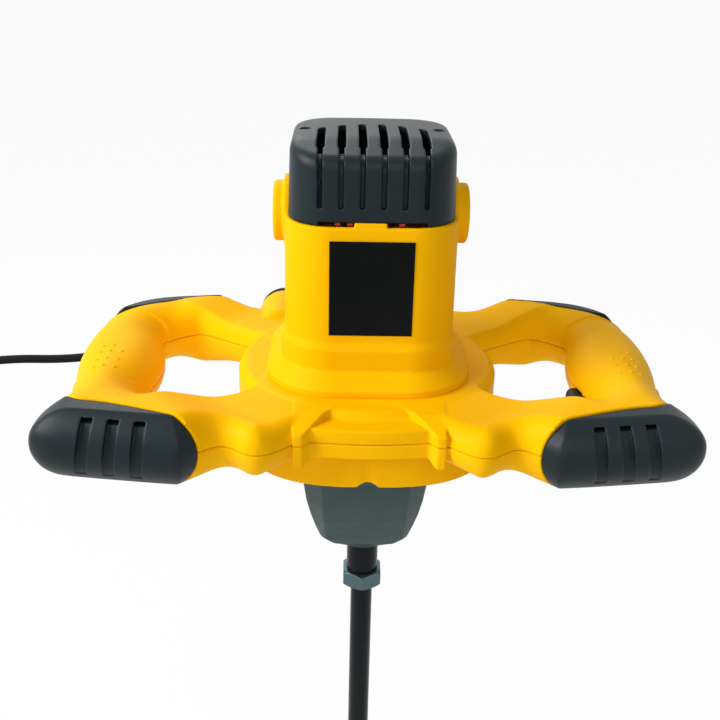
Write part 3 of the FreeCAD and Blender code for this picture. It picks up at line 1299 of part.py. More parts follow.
def cord_coil():
    edges = []
    for i in range(int(round(coil_turns() * COIL_QUARTERS))):
        a = i / COIL_QUARTERS
        b = (i + 1) / COIL_QUARTERS
        edges += biarc(coil_point(a), coil_way(a), coil_point(b), coil_way(b))
    edges.append(Part.makeLine(coil_point(coil_turns()), coil_end()))
    path = Part.Wire(edges)
    spacing = CORD_DIAMETER * COIL_SAMPLE_SHARE
    samples = path.discretize(Distance=spacing)
    apart = int(COIL_APART / spacing)
    least = min((samples[i] - samples[j]).Length for i in range(len(samples))
                for j in range(i + apart, len(samples)))
    solid = swept(path, -X_AXIS, CORD_DIAMETER / 2)
    share = solid.Volume / (path.Length * math.pi * CORD_DIAMETER ** 2 / 4)
    gap = least - CORD_DIAMETER
    print(f"coil length {path.Length:.0f}, gap to itself {gap:.2f}, volume share {share:.3f}")
    return solid


def coil_tie():
    """Strap round all the loops at the right side of the coil."""
    step = CORD_DIAMETER + COIL_GAP
    wire = CORD_DIAMETER / 2
    middle = coil_middle()
    last_turn = math.floor(coil_turns() - TIE_TURN) + TIE_TURN
    inner = coil_state(COIL_TURNS_IN - 1 + TIE_TURN)[0] - wire - TIE_ROOM
    outer = coil_state(last_turn)[0] + wire + TIE_ROOM / 2
    low = middle + V(inner, -wire - RUN_FIT, -TIE_WIDTH / 2)
    high = middle + V(outer, step + wire + RUN_FIT, TIE_WIDTH / 2)
    skin = V(TIE_THICK, TIE_THICK, 0)
    over = V(0, 0, OVERRUN)
    return box(low - skin, high + skin).cut(box(low - over, high + over))


def plug_body():
    """Round plug that hangs below the coil, its narrow tail uppermost."""
    top = coil_end()
    waist = top.z - PLUG_TAIL
    bottom = waist - PLUG_LENGTH
    body = turned([(0, top.z), (PLUG_TAIL_RADIUS, top.z), (PLUG_TAIL_RADIUS, waist),
                   (PLUG_RADIUS, waist - PLUG_TAIL / 2), (PLUG_RADIUS, bottom), (0, bottom)])
    return body.translate(V(top.x, top.y, 0))


def plug_pins():
    top = coil_end()
    bottom = top.z - PLUG_TAIL - PLUG_LENGTH
    pins = [cylinder(PIN_RADIUS, bottom - PIN_LENGTH, bottom, (top.x + side * PIN_SPACING / 2, top.y))
            for side in (-1, 1)]
    return Part.makeCompound(pins)


upper_shell, lower_shell, bumper_blanks = handle_bodies()
trigger_way = fused([trigger_block(SLIDE_FIT), trigger_lip(SLIDE_FIT)])
trigger_sweep = fused([trigger_way, trigger_lip(SLIDE_FIT).translate(V(TRIGGER_TRAVEL, 0, 0))])
lower_shell = lower_shell.cut(trigger_sweep)
lower_shell = lower_shell.cut(cylinder(BUTTON_RADIUS + SLIDE_FIT, -HUB_DROP, -HANDLE_WALL, BUTTON_PLACE))
dial_hole = rod_y(DIAL_SHAFT_RADIUS + SLIDE_FIT, MODULE_FRONT, HANDLE_HALF_DEPTH, *dial_axis())
dial_recess = rod_y(DIAL_RADIUS + SLIDE_FIT, DIAL_START - SLIDE_FIT, HANDLE_HALF_DEPTH + OVERRUN,
                    *dial_axis())
upper_shell = upper_shell.cut(dial_hole).cut(dial_recess)
lower_shell = lower_shell.cut(dial_hole).cut(dial_recess)

save("handle_upper_shell", upper_shell)
save("handle_lower_shell", lower_shell)
slots = four_corners(mirrored_y(bumper_slots(RING_FRONT_SHARES)), bumper_slots(RING_REAR_SHARES))
corner_names = ("front_left", "front_right", "rear_left", "rear_right")
for corner, blank, cuts in zip(corner_names, bumper_blanks, slots):
    save(f"bumper_{corner}", blank.cut(cuts))
save("motor_housing", motor_housing())
save("vent_cap", vent_cap())
save("rating_plate", rating_plate())
save("gear_case", gear_case())
save("gear_plate", gear_plate())
save("case_gasket", case_gasket())
save("stator_core", stator_core())
save("stator_coils", stator_coils())
save("armature_shaft", armature_shaft())
save("armature_core", armature_core())
save("armature_windings", armature_windings())
save("commutator", commutator())
save("motor_fan", motor_fan())
for side, side_name in ((-1, "left"), (1, "right")):
    for node, piece in zip(("brush_holder", "carbon_brush", "brush_spring", "brush_cap"), brush_set(side)):
        save(f"{node}_{side_name}", piece)
save("countershaft", countershaft())
save("countershaft_gear", countershaft_gear())
save("output_gear", output_gear())
save("spindle_key", spindle_key())
save("retaining_ring", retaining_ring())
save("spindle", spindle())
save("motor_bearing_top", bearing(TOP_BEARING, TOP_BEARING_PLACE))
save("motor_bearing_lower", bearing(LOWER_BEARING, -LOWER_BEARING[2]))
save("countershaft_bearing_upper", bearing(COUNTER_UPPER_BEARING, -PLATE_DEPTH, COUNTER_CENTRE))
save("countershaft_bearing_lower",
     bearing(COUNTER_LOWER_BEARING, SECOND_CHAMBER_FLOOR - COUNTER_LOWER_BEARING[2], COUNTER_CENTRE))
save("spindle_bearing_upper",
     bearing(SPINDLE_UPPER_BEARING, SECOND_CHAMBER_FLOOR - SPINDLE_UPPER_BEARING[2]))
save("spindle_bearing_lower", bearing(SPINDLE_LOWER_BEARING, SPINDLE_LOWER_SEAT - SPINDLE_LOWER_BEARING[2]))
save("spindle_seal", tube(SEAL_RADIUS, SPINDLE_LOWER_BEARING[0] + RUN_FIT, CASE_BOTTOM, SEAL_TOP))
save("lock_nut", lock_nut())
save("mixing_rod", mixing_rod())
save("paddle_lower_ring", paddle_ring(ROD_END + PADDLE_BAR_WIDTH))
save("paddle_upper_ring", paddle_ring(ROD_END + PADDLE_HEIGHT))
blades = [paddle_blade(2 * math.pi * i / PADDLE_BARS) for i in range(PADDLE_BARS)]
save("paddle_blades", Part.makeCompound(blades))
save("trigger", trigger())
save("trigger_spring", trigger_spring())
save("switch_body", switch_body())
save("lock_button", lock_button())
save("speed_dial", speed_dial())
save("speed_module", speed_module())
save("handle_screws", handle_screws())
save("cap_screws", cap_screws())
save("case_screws", case_screws())
save("cord_sleeve", cord_sleeve())
save("cord", cord())
save("cord_coil", cord_coil())
save("coil_tie", coil_tie())
save("plug_body", plug_body())
save("plug_pins", plug_pins())
print("coil end", coil_end())
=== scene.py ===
import json
import math

import bpy
import numpy as np
from mathutils import Matrix, Vector


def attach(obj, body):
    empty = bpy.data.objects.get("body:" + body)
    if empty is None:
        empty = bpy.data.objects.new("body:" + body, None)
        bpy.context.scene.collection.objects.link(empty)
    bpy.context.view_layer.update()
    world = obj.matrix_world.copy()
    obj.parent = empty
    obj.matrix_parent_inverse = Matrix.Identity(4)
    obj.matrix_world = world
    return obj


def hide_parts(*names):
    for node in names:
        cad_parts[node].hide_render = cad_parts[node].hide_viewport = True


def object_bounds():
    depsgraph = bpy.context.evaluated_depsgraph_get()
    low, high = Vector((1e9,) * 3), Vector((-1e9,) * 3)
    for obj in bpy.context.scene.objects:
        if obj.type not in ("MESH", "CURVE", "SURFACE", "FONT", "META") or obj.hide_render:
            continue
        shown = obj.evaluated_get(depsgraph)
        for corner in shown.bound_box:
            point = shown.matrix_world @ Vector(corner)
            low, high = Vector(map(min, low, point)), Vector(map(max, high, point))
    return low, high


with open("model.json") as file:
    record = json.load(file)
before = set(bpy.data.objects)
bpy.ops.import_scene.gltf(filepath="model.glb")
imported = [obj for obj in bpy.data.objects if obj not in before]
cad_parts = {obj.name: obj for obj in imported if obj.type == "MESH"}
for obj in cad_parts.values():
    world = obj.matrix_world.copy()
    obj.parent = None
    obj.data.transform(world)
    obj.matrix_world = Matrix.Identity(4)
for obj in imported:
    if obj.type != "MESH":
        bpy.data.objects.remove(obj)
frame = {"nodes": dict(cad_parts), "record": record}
cad_low, cad_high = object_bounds()

# Sizes are in millimetres, in the part's frame: +Z up the spindle axis, zero at the handle's parting plane
MM = 0.001
# Grid step of the larger meshes, coarser for a quick export
VOXEL = 0.9


# Fields, which are negative inside a form and near its surface about the distance to it

DIAGONAL = 0.7071


def smooth_min(a, b, blend):
    """Two forms as one, with a fillet of about that radius where they meet."""
    h = np.clip(0.5 + 0.5 * (b - a) / blend, 0.0, 1.0)
    return b + (a - b) * h - blend * h * (1.0 - h)


def smooth_max(a, b, blend):
    """What two forms share, with its edge rounded by about that radius."""
    return -smooth_min(-a, -b, blend)


def ramp(x, low, high):
    """Smooth step from 0 at low to 1 at high."""
    t = np.clip((x - low) / (high - low), 0.0, 1.0)
    return t * t * (3.0 - 2.0 * t)


def box_field(x, y, z, low, high, round_by):
    """Distance to a box with rounded edges."""
    q = []
    for value, a, b in zip((x, y, z), low, high):
        q.append(np.abs(value - (a + b) / 2) - (b - a) / 2 + round_by)
    outside = np.sqrt(sum(np.maximum(v, 0.0) ** 2 for v in q))
    inside = np.minimum(np.maximum(np.maximum(q[0], q[1]), q[2]), 0.0)
    return outside + inside - round_by


def rod_field(across, along, radius, start, end, round_by):
    """Distance to a round bar with rounded ends, from the distance across its axis and along it."""
    a = across - radius + round_by
    b = np.abs(along - (start + end) / 2) - (end - start) / 2 + round_by
    outside = np.sqrt(np.maximum(a, 0.0) ** 2 + np.maximum(b, 0.0) ** 2)
    return outside + np.minimum(np.maximum(a, b), 0.0) - round_by


def square_field(x, y, half, corner):
    """Plan distance to a square with round corners; half and corner may vary from point to point."""
    qx = np.abs(x) - half + corner
    qy = np.abs(y) - half + corner
    outside = np.sqrt(np.maximum(qx, 0.0) ** 2 + np.maximum(qy, 0.0) ** 2)
    return outside + np.minimum(np.maximum(qx, qy), 0.0) - corner


def level_values(levels, z):
    """What a table of levels gives at each height, read between its rows."""
    heights = [level[0] for level in levels]
    return [np.interp(z, heights, [level[i] for level in levels]) for i in range(1, len(levels[0]))]


# Meshes from fields

CORNERS = [(i, j, k) for i in (0, 1) for j in (0, 1) for k in (0, 1)]
# Nudge and reach are shares of the grid step
SETTLE_ROUNDS = 2
SETTLE_NUDGE = 0.25
SETTLE_REACH = 0.4
SLOPE_FLOOR = 0.05
TINY = 1e-9


def new_object(name, data):
    obj = bpy.data.objects.new(name, data)
    bpy.context.scene.collection.objects.link(obj)
    return obj


def mesh_object(name, points, faces, smooth=True):
    """A mesh with these points, in millimetres."""
    mesh = bpy.data.meshes.new(name)
    rows = faces.tolist() if isinstance(faces, np.ndarray) else faces
    mesh.from_pydata((np.asarray(points) * MM).tolist(), [], rows)
    mesh.validate()
    mesh.polygons.foreach_set("use_smooth", [smooth] * len(mesh.polygons))
    mesh.update()
    return new_object(name, mesh)


def cell_points(values, cells):
    """One point in each cell, the mean of where the field is zero on its edges, in steps of the grid."""
    place = np.zeros((len(cells), 3))
    count = np.zeros(len(cells))
    for a in CORNERS:
        for axis in range(3):
            if a[axis]:
                continue
            b = tuple(v + (1 if i == axis else 0) for i, v in enumerate(a))
            va = values[tuple((cells + a).T)]
            vb = values[tuple((cells + b).T)]
            hit = (va < 0) != (vb < 0)
            share = np.where(hit, va / np.where(hit, va - vb, 1.0), 0.0)
            point = np.tile(np.array(a, float), (len(cells), 1))
            point[:, axis] += share
            place[hit] += point[hit]
            count[hit] += 1
    return cells + place / count[:, None]


def cell_faces(inside, number):
    """A face between the four cells round each grid edge that crosses the surface."""
    faces = []
    for axis in range(3):
        u, v = (axis + 1) % 3, (axis + 2) % 3
        first = [slice(None)] * 3
        second = [slice(None)] * 3
        first[axis], second[axis] = slice(0, -1), slice(1, None)
        start, end = inside[tuple(first)], inside[tuple(second)]
        spots = np.argwhere(start != end)
        spots = spots[(spots[:, u] > 0) & (spots[:, v] > 0)]
        quad = []
        for du, dv in ((1, 1), (0, 1), (0, 0), (1, 0)):
            cell = spots.copy()
            cell[:, u] -= du
            cell[:, v] -= dv
            quad.append(number[tuple(cell.T)])
        quad = np.stack(quad, 1)
        flip = ~start[tuple(spots.T)]
        quad[flip] = quad[flip][:, ::-1]
        faces.append(quad)
    return np.concatenate(faces)


def settled(points, field, step):
    """The points, moved along the field's slope on to its surface."""
    nudge = SETTLE_NUDGE * step
    for _ in range(SETTLE_ROUNDS):
        here = field(*points.T)
        slope = np.empty_like(points)
        for axis in range(3):
            ahead, behind = points.copy(), points.copy()
            ahead[:, axis] += nudge
            behind[:, axis] -= nudge
            slope[:, axis] = (field(*ahead.T) - field(*behind.T)) / (2 * nudge)
        move = slope * (here / np.maximum((slope ** 2).sum(1), SLOPE_FLOOR))[:, None]
        size = np.sqrt((move ** 2).sum(1, keepdims=True))
        points -= move * np.minimum(1.0, SETTLE_REACH * step / np.maximum(size, TINY))
    return points


def field_mesh(name, field, low, high, step):
    """Closed mesh of the surface where the field is zero, inside a box, on a grid of that step."""
    axes = [np.arange(a - 2 * step, b + 3 * step, step) for a, b in zip(low, high)]
    nx, ny, nz = (len(a) for a in axes)
    values = np.empty((nx, ny, nz), np.float32)
    gx, gy = np.meshgrid(axes[0], axes[1], indexing="ij")
    for k in range(nz):
        values[:, :, k] = field(gx, gy, np.full_like(gx, axes[2][k]))
    inside = values < 0
    total = np.zeros((nx - 1, ny - 1, nz - 1), np.int8)
    for i, j, k in CORNERS:
        total += inside[i:nx - 1 + i, j:ny - 1 + j, k:nz - 1 + k]
    cells = np.argwhere((total > 0) & (total < len(CORNERS)))
    number = -np.ones(total.shape, np.int32)
    number[tuple(cells.T)] = np.arange(len(cells))
    points = cell_points(values, cells) * step + [a[0] for a in axes]
    return mesh_object(name, settled(points, field, step), cell_faces(inside, number))


# Materials

GLOSSIEST = 0.05
METAL_SMOOTHER = 0.1
METAL_ROUGHER = 0.12
METAL_DULL = 0.85


def new_material(name, colour, roughness, gloss, metallic=0.0):
    material = bpy.data.materials.new(name)
    material.use_nodes = True
    shader = material.node_tree.nodes["Principled BSDF"]
    shader.inputs["Base Color"].default_value = (*colour, 1.0)
    shader.inputs["Roughness"].default_value = roughness
    shader.inputs["Specular IOR Level"].default_value = gloss
    shader.inputs["Metallic"].default_value = metallic
    return material, material.node_tree, shader


def link(tree, a, out, b, socket):
    tree.links.new(a.outputs[out], b.inputs[socket])


def noise_node(tree, source, out, scale, detail, rough):
    node = tree.nodes.new("ShaderNodeTexNoise")
    node.inputs["Scale"].default_value = scale
    node.inputs["Detail"].default_value = detail
    node.inputs["Roughness"].default_value = rough
    link(tree, source, out, node, "Vector")
    return node


def ramp_node(tree, noise, stops):
    """Two colours over a noise."""
    node = tree.nodes.new("ShaderNodeValToRGB")
    for spot, (where, colour) in zip(node.color_ramp.elements, stops):
        spot.position = where
        spot.color = (*colour, 1.0)
    link(tree, noise, "Fac", node, "Fac")
    return node


def bump_node(tree, noise, strength, distance):
    node = tree.nodes.new("ShaderNodeBump")
    node.inputs["Strength"].default_value = strength
    node.inputs["Distance"].default_value = distance
    link(tree, noise, "Fac", node, "Height")
    return node


def grey(value):
    return (value, value, value)


def moulded(name, colour, worn, roughness, spread, grain, depth, gloss):
    """Moulded plastic: slow colour drift, fine spark-eroded grain, and roughness that varies with it."""
    material, tree, shader = new_material(name, colour, roughness, gloss)
    where = tree.nodes.new("ShaderNodeTexCoord")
    drift = noise_node(tree, where, "Object", scale=9.0, detail=2.0, rough=0.6)
    tint = ramp_node(tree, drift, [(0.3, colour), (0.75, worn)])
    link(tree, tint, "Color", shader, "Base Color")
    fine = noise_node(tree, where, "Object", scale=grain, detail=4.0, rough=0.7)
    rough = ramp_node(tree, fine, [(0.3, grey(roughness - spread)), (0.7, grey(roughness + spread))])
    link(tree, rough, "Color", shader, "Roughness")
    bump = bump_node(tree, fine, strength=0.5, distance=depth)
    link(tree, bump, "Normal", shader, "Normal")
    return material


def metal(name, colour, roughness, metallic, streak, gloss):
    """Metal with a fine grain along or across it and slight variation of gloss."""
    material, tree, shader = new_material(name, colour, roughness, gloss, metallic)
    where = tree.nodes.new("ShaderNodeTexCoord")
    stretch = tree.nodes.new("ShaderNodeMapping")
    stretch.inputs["Scale"].default_value = streak
    link(tree, where, "Object", stretch, "Vector")
    lines = noise_node(tree, stretch, "Vector", scale=400.0, detail=3.0, rough=0.5)
    smoothest = max(GLOSSIEST, roughness - METAL_SMOOTHER)
    rough = ramp_node(tree, lines, [(0.3, grey(smoothest)), (0.7, grey(roughness + METAL_ROUGHER))])
    link(tree, rough, "Color", shader, "Roughness")
    patches = noise_node(tree, where, "Object", scale=40.0, detail=3.0, rough=0.6)
    tint = ramp_node(tree, patches, [(0.3, tuple(METAL_DULL * c for c in colour)), (0.7, colour)])
    link(tree, tint, "Color", shader, "Base Color")
    bump = bump_node(tree, lines, strength=0.25, distance=0.0001)
    link(tree, bump, "Normal", shader, "Normal")
    return material


# Grain is the scale of a plastic's fine noise, and depth is its height in metres
PLASTICS = {
    "yellow_plastic": dict(colour=(0.90, 0.455, 0.0), worn=(0.94, 0.49, 0.0),
                           roughness=0.48, spread=0.06, grain=900.0, depth=0.00012, gloss=0.04),
    "dark_plastic": dict(colour=(0.007, 0.014, 0.016), worn=(0.012, 0.021, 0.024),
                         roughness=0.38, spread=0.09, grain=1100.0, depth=0.0001, gloss=0.16),
    "black_plastic": dict(colour=(0.009, 0.009, 0.010), worn=(0.014, 0.014, 0.015),
                          roughness=0.45, spread=0.08, grain=1200.0, depth=0.0002, gloss=0.15),
    "black_rubber": dict(colour=(0.006, 0.006, 0.007), worn=(0.010, 0.010, 0.011),
                         roughness=0.62, spread=0.08, grain=1500.0, depth=0.0002, gloss=0.1),
    "label_plate": dict(colour=(0.003, 0.004, 0.004), worn=(0.006, 0.007, 0.007),
                        roughness=0.3, spread=0.05, grain=700.0, depth=0.00004, gloss=0.05),
    "carbon": dict(colour=(0.03, 0.03, 0.032), worn=(0.045, 0.045, 0.047),
                   roughness=0.6, spread=0.1, grain=900.0, depth=0.0002, gloss=0.4),
    "black_paint": dict(colour=(0.003, 0.005, 0.006), worn=(0.005, 0.007, 0.008),
                        roughness=0.16, spread=0.05, grain=900.0, depth=0.00004, gloss=0.12),
}
METALS = {
    "cast_case": dict(colour=(0.056, 0.090, 0.088), roughness=0.42, metallic=0.15,
                      streak=(1.0, 1.0, 1.0), gloss=0.2),
    "bare_steel": dict(colour=(0.52, 0.53, 0.55), roughness=0.3, metallic=1.0,
                       streak=(1.0, 1.0, 0.05), gloss=0.5),
    "zinc_plate": dict(colour=(0.085, 0.14, 0.155), roughness=0.25, metallic=0.8,
                       streak=(1.0, 1.0, 0.2), gloss=0.4),
    "brass": dict(colour=(0.70, 0.52, 0.22), roughness=0.3, metallic=1.0,
                  streak=(1.0, 1.0, 0.1), gloss=0.5),
    "copper_wire": dict(colour=(0.46, 0.035, 0.02), roughness=0.35, metallic=0.2,
                        streak=(0.1, 0.1, 1.0), gloss=0.3),
}
FINISHES = {name: moulded(name, **look) for name, look in PLASTICS.items()}
FINISHES.update({name: metal(name, **look) for name, look in METALS.items()})
for entry in frame["record"]["subparts"]:
    node = frame["nodes"][entry["node"]]
    node.data.materials.clear()
    node.data.materials.append(FINISHES[entry["material_slot"]])


def dress(obj, body, slot, *nodes):
    """Give a new piece its finish and body, and let it stand for CAD nodes."""
    obj.data.materials.append(FINISHES[slot])
    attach(obj, body)
    if nodes:
        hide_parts(*nodes)


# Plan of the ring handle, its right side: the rear half and the front half, each from the hub outwards

RING_REAR = [
    (0.0, 66.0), (20.0, 68.0), (30.0, 71.5), (36.0, 75.0), (43.0, 80.0), (50.0, 85.0), (57.0, 86.3),
    (64.0, 85.0), (73.0, 84.2), (84.0, 88.4), (91.0, 91.5), (97.0, 92.0), (112.0, 89.6), (124.0, 87.8),
    (135.0, 84.6), (144.0, 80.5), (152.0, 74.6), (158.0, 68.4), (163.5, 60.0), (167.0, 52.0), (169.5, 42.0),
    (171.2, 30.0), (171.6, 15.0), (170.8, 0.0),
]
RING_FRONT = [
    (0.0, 66.0), (20.0, 69.0), (30.0, 75.0), (36.0, 82.0), (43.0, 89.5), (52.0, 97.0), (58.0, 98.6),
    (64.0, 96.6), (70.0, 91.0), (74.5, 88.6), (79.0, 89.6), (85.0, 94.2), (91.0, 100.2), (94.0, 102.8),
    (97.0, 103.3), (112.0, 101.8), (130.0, 99.4), (148.0, 97.0), (160.0, 95.0), (168.0, 92.2), (173.0, 88.2),
    (175.2, 82.0), (174.0, 75.5), (170.8, 69.5), (167.0, 63.0), (164.4, 56.0), (163.5, 48.0), (164.2, 38.0),
    (166.4, 25.0), (169.0, 12.0), (170.8, 0.0),
]
HOLE_GRIP = [
    (119.0, 0.0), (119.6, 10.0), (121.5, 22.0), (125.2, 32.5), (126.6, 38.5), (125.0, 45.0), (121.0, 50.0),
]
HOLE_REAR = HOLE_GRIP + [
    (115.0, 54.5), (108.0, 58.2), (104.0, 57.8), (98.0, 54.5), (88.0, 47.8), (78.0, 41.0), (70.0, 35.5),
    (62.0, 28.0), (58.0, 16.0), (57.0, 0.0),
]
HOLE_FRONT = HOLE_GRIP + [
    (115.0, 55.0), (108.0, 58.2), (103.0, 57.2), (96.0, 54.6), (89.0, 52.8), (82.0, 51.4), (75.0, 48.6),
    (69.0, 44.5), (64.0, 38.0), (60.0, 26.0), (57.6, 12.0), (57.0, 0.0),
]
PAD_FRONT = [
    (80.0, -97.6), (97.0, -91.0), (115.0, -83.8), (132.0, -77.8), (141.0, -75.6), (148.0, -74.6),
    (153.0, -71.6), (157.5, -67.0), (163.0, -61.5), (171.0, -58.0), (188.0, -56.0), (188.0, -112.0),
    (80.0, -112.0),
]
PAD_REAR = [
    (84.0, 86.0), (97.0, 81.0), (116.0, 73.5), (132.0, 66.5), (140.0, 62.0), (145.0, 59.0), (149.0, 57.0),
    (154.0, 56.5), (162.0, 58.5), (188.0, 62.0), (188.0, 112.0), (84.0, 112.0),
]


def rounded_loop(points):
    """A closed loop with its corners cut twice."""
    loop = np.array(points, float)
    for _ in range(2):
        ahead = np.roll(loop, -1, 0)
        loop = np.stack([0.75 * loop + 0.25 * ahead, 0.25 * loop + 0.75 * ahead], 1).reshape(-1, 2)
    return loop


def loop_distance(loop, px, py):
    """Signed distance to a closed loop, positive inside it."""
    best = np.full(px.shape, 1e9)
    inside = np.zeros(px.shape, bool)
    for a, b in zip(loop, np.roll(loop, -1, 0)):
        ex, ey = b - a
        t = np.clip(((px - a[0]) * ex + (py - a[1]) * ey) / (ex * ex + ey * ey), 0.0, 1.0)
        best = np.minimum(best, (px - a[0] - ex * t) ** 2 + (py - a[1] - ey * t) ** 2)
        if abs(ey) > 1e-12:
            inside ^= ((a[1] > py) != (b[1] > py)) & (px < ex * (py - a[1]) / ey + a[0])
    return np.where(inside, 1.0, -1.0) * np.sqrt(best)


class PlanTable:
    """A plan distance of the right side, kept on a grid and read between its points."""

    STEP = 0.5
    REACH_X = 190.0
    REACH_Y = 114.0

    def __init__(self, *loops):
        self.x = np.arange(0.0, self.REACH_X + self.STEP, self.STEP)
        self.y = np.arange(-self.REACH_Y, self.REACH_Y + self.STEP, self.STEP)
        gx, gy = np.meshgrid(self.x, self.y, indexing="ij")
        self.values = np.max([loop_distance(rounded_loop(loop), gx, gy) for loop in loops], 0)

    def __call__(self, x, y):
        u = np.clip(np.abs(x) / self.STEP, 0.0, len(self.x) - 1.001)
        v = np.clip((y + self.REACH_Y) / self.STEP, 0.0, len(self.y) - 1.001)
        i, j = u.astype(int), v.astype(int)
        s, t = u - i, v - j
        a = self.values
        return ((a[i, j] * (1 - s) + a[i + 1, j] * s) * (1 - t)
                + (a[i, j + 1] * (1 - s) + a[i + 1, j + 1] * s) * t)


right_side = RING_REAR + [(x, -y) for x, y in RING_FRONT[-2::-1]]
OUTER_PLAN = PlanTable(right_side + [(-x, y) for x, y in right_side[-2:0:-1]])
HOLE_PLAN = PlanTable(HOLE_REAR + [(x, -y) for x, y in HOLE_FRONT[-2:0:-1]])
PAD_PLAN = PlanTable(PAD_FRONT, PAD_REAR)


# Grips and arms

# A span is where a change begins and where it ends
HUB_TOP = 12.0
ARM_DROP = 14.0
GRIP_RISE = 8.0
GRIP_RISE_SPAN = (96.0, 134.0)
GRIP_DROP = 6.0
GRIP_DROP_SPAN = (92.0, 126.0)
GRIP_SPAN = (108.0, 132.0)
FRONT_CORNER_SPAN = (76.0, 100.0)
REAR_CORNER_SPAN = (60.0, 92.0)
ARM_ROUND = 9.0
OUTER_ROUND = 4.0
OUTER_ROUND_SPAN = (85.0, 110.0)
GRIP_ROUND = 11.0
HOLE_ROUND = 4.5
HOLE_GRIP_ROUND = 20.0
HOLE_GRIP_SPAN = (104.0, 126.0)
RING_SCALE = 13.0


def edge(distance, round_by):
    """0 well inside a plan, rising to 1 at its edge."""
    return np.maximum((round_by - distance) / round_by, 0.0)


def ring_field(x, y, z):
    """The grips and arms: a plan with rounded edges, thinner towards the hub."""
    r = np.hypot(x, y)
    ax, ay = np.abs(x), np.abs(y)
    top = HUB_TOP + GRIP_RISE * ramp(r, *GRIP_RISE_SPAN)
    bottom = ARM_DROP + GRIP_DROP * ramp(r, *GRIP_DROP_SPAN)
    corner = np.where(y < 0, ramp(ay, *FRONT_CORNER_SPAN), ramp(ay, *REAR_CORNER_SPAN))
    grip = ramp(ax, *GRIP_SPAN) * (1.0 - corner)
    outer_round = ARM_ROUND + OUTER_ROUND * ramp(r, *OUTER_ROUND_SPAN) + GRIP_ROUND * grip
    hole_round = HOLE_ROUND + HOLE_GRIP_ROUND * ramp(ax, *HOLE_GRIP_SPAN)
    e = np.sqrt(edge(OUTER_PLAN(x, y), outer_round) ** 2 + edge(-HOLE_PLAN(x, y), hole_round) ** 2)
    height = np.where(z >= 0, top, bottom)
    return (np.sqrt(e ** 2 + (z / height) ** 2) - 1.0) * RING_SCALE


SEAM_DEPTH = 0.6
SEAM_SPAN = (112.0, 118.0)
SEAM_EDGE = (0.6, -0.3)
SEAM_TOP = 20.0
FRONT_SEAM_START = 47.5
FRONT_SEAM_LEAN = 1.25
REAR_SEAM_START = 51.5
REAR_SEAM_LEAN = 0.28


def seam_step(x, y, z):
    """The grip's cover lies a little below the corners that it runs into."""
    lean = np.where(y < 0, FRONT_SEAM_LEAN, REAR_SEAM_LEAN)
    start = np.where(y < 0, FRONT_SEAM_START, REAR_SEAM_START)
    beyond = np.abs(y) - start + lean * (SEAM_TOP - np.abs(z))
    return SEAM_DEPTH * ramp(np.abs(x), *SEAM_SPAN) * ramp(beyond, *SEAM_EDGE)


# Hub with the bands at its front and rear

HUB_RADIUS = 75.0
HUB_BOTTOM = -33.0
HUB_STEP = -6.0
HUB_FLAT = 73.0
HUB_SQUARENESS = 2.75
HUB_CHAMFER = 4.2
CHANNEL_PLACE = 78.4
CHANNEL_RADIUS = 6.6
CHANNEL_TOP = -4.0
NOTCH_BELOW = 4.6
NOTCH_RADIUS = 7.4
NOTCH_START = 66.0
BAND_START = 55.0
BAND_REACH = 85.8
BAND_BOW = 330.0
BAND_HALF = 34.0
BAND_TOP = 8.0
BAND_BOTTOM = -8.5
SHOULDER_REACH = 88.4
SHOULDER_HALF = 39.5
SHOULDER_FALL = 0.38
SHOULDER_FALL_START = 74.0
SHOULDER_BOTTOM = -12.5
UNDERCUT_FALL = 0.6
UNDERCUT_START = 88.0
FACET_HALF = 23.5
FACET_START = 73.0
FACET_LEAN = 0.72
FACET_LENGTH = 1.23


def hub_field(x, y, z):
    """A round drum that is squarer below, with a channel and a notch at the front and the rear."""
    r = np.hypot(x, y)
    square = (np.abs(x) ** HUB_SQUARENESS + np.abs(y) ** HUB_SQUARENESS) ** (1 / HUB_SQUARENESS)
    side = np.where(z > HUB_STEP, r - HUB_RADIUS, square - HUB_FLAT)
    drum = smooth_max(smooth_max(side, z - HUB_TOP, 0.8), HUB_BOTTOM - z, 0.8)
    drum = smooth_max(drum, (r + z - HUB_RADIUS - HUB_TOP + HUB_CHAMFER) * DIAGONAL, 1.0)
    channel = np.maximum(np.hypot(x, np.abs(y) - CHANNEL_PLACE) - CHANNEL_RADIUS, z - CHANNEL_TOP)
    drum = smooth_max(drum, -channel, 1.2)
    notch = np.hypot(x, z - HUB_BOTTOM + NOTCH_BELOW) - NOTCH_RADIUS
    notch = np.maximum(notch, NOTCH_START - np.abs(y))
    return smooth_max(drum, -notch, 0.8)


def band_field(x, y, z):
    """The front and rear bands below the hub's rim, with the shoulders at their ends."""
    ax, ay = np.abs(x), np.abs(y)
    front = ay - BAND_REACH + x * x / BAND_BOW
    band = smooth_max(smooth_max(front, ax - BAND_HALF, 0.5), np.maximum(z - BAND_TOP, BAND_BOTTOM - z), 0.8)
    band = smooth_max(band, BAND_START - ay, 0.5)
    slope = z - HUB_TOP + SHOULDER_FALL * np.maximum(ay - SHOULDER_FALL_START, 0.0)
    facet = (FACET_HALF + FACET_LEAN * (ay - FACET_START) - ax) / FACET_LENGTH
    undercut = SHOULDER_BOTTOM - z + UNDERCUT_FALL * (UNDERCUT_START - ay)
    shoulder = smooth_max(smooth_max(ay - SHOULDER_REACH, ax - SHOULDER_HALF, 0.6), slope, 0.6)
    shoulder = smooth_max(smooth_max(shoulder, facet, 0.8), undercut, 0.6)
    shoulder = smooth_max(shoulder, BAND_START - ay, 0.5)
    return np.minimum(band, shoulder)


# Handle shells

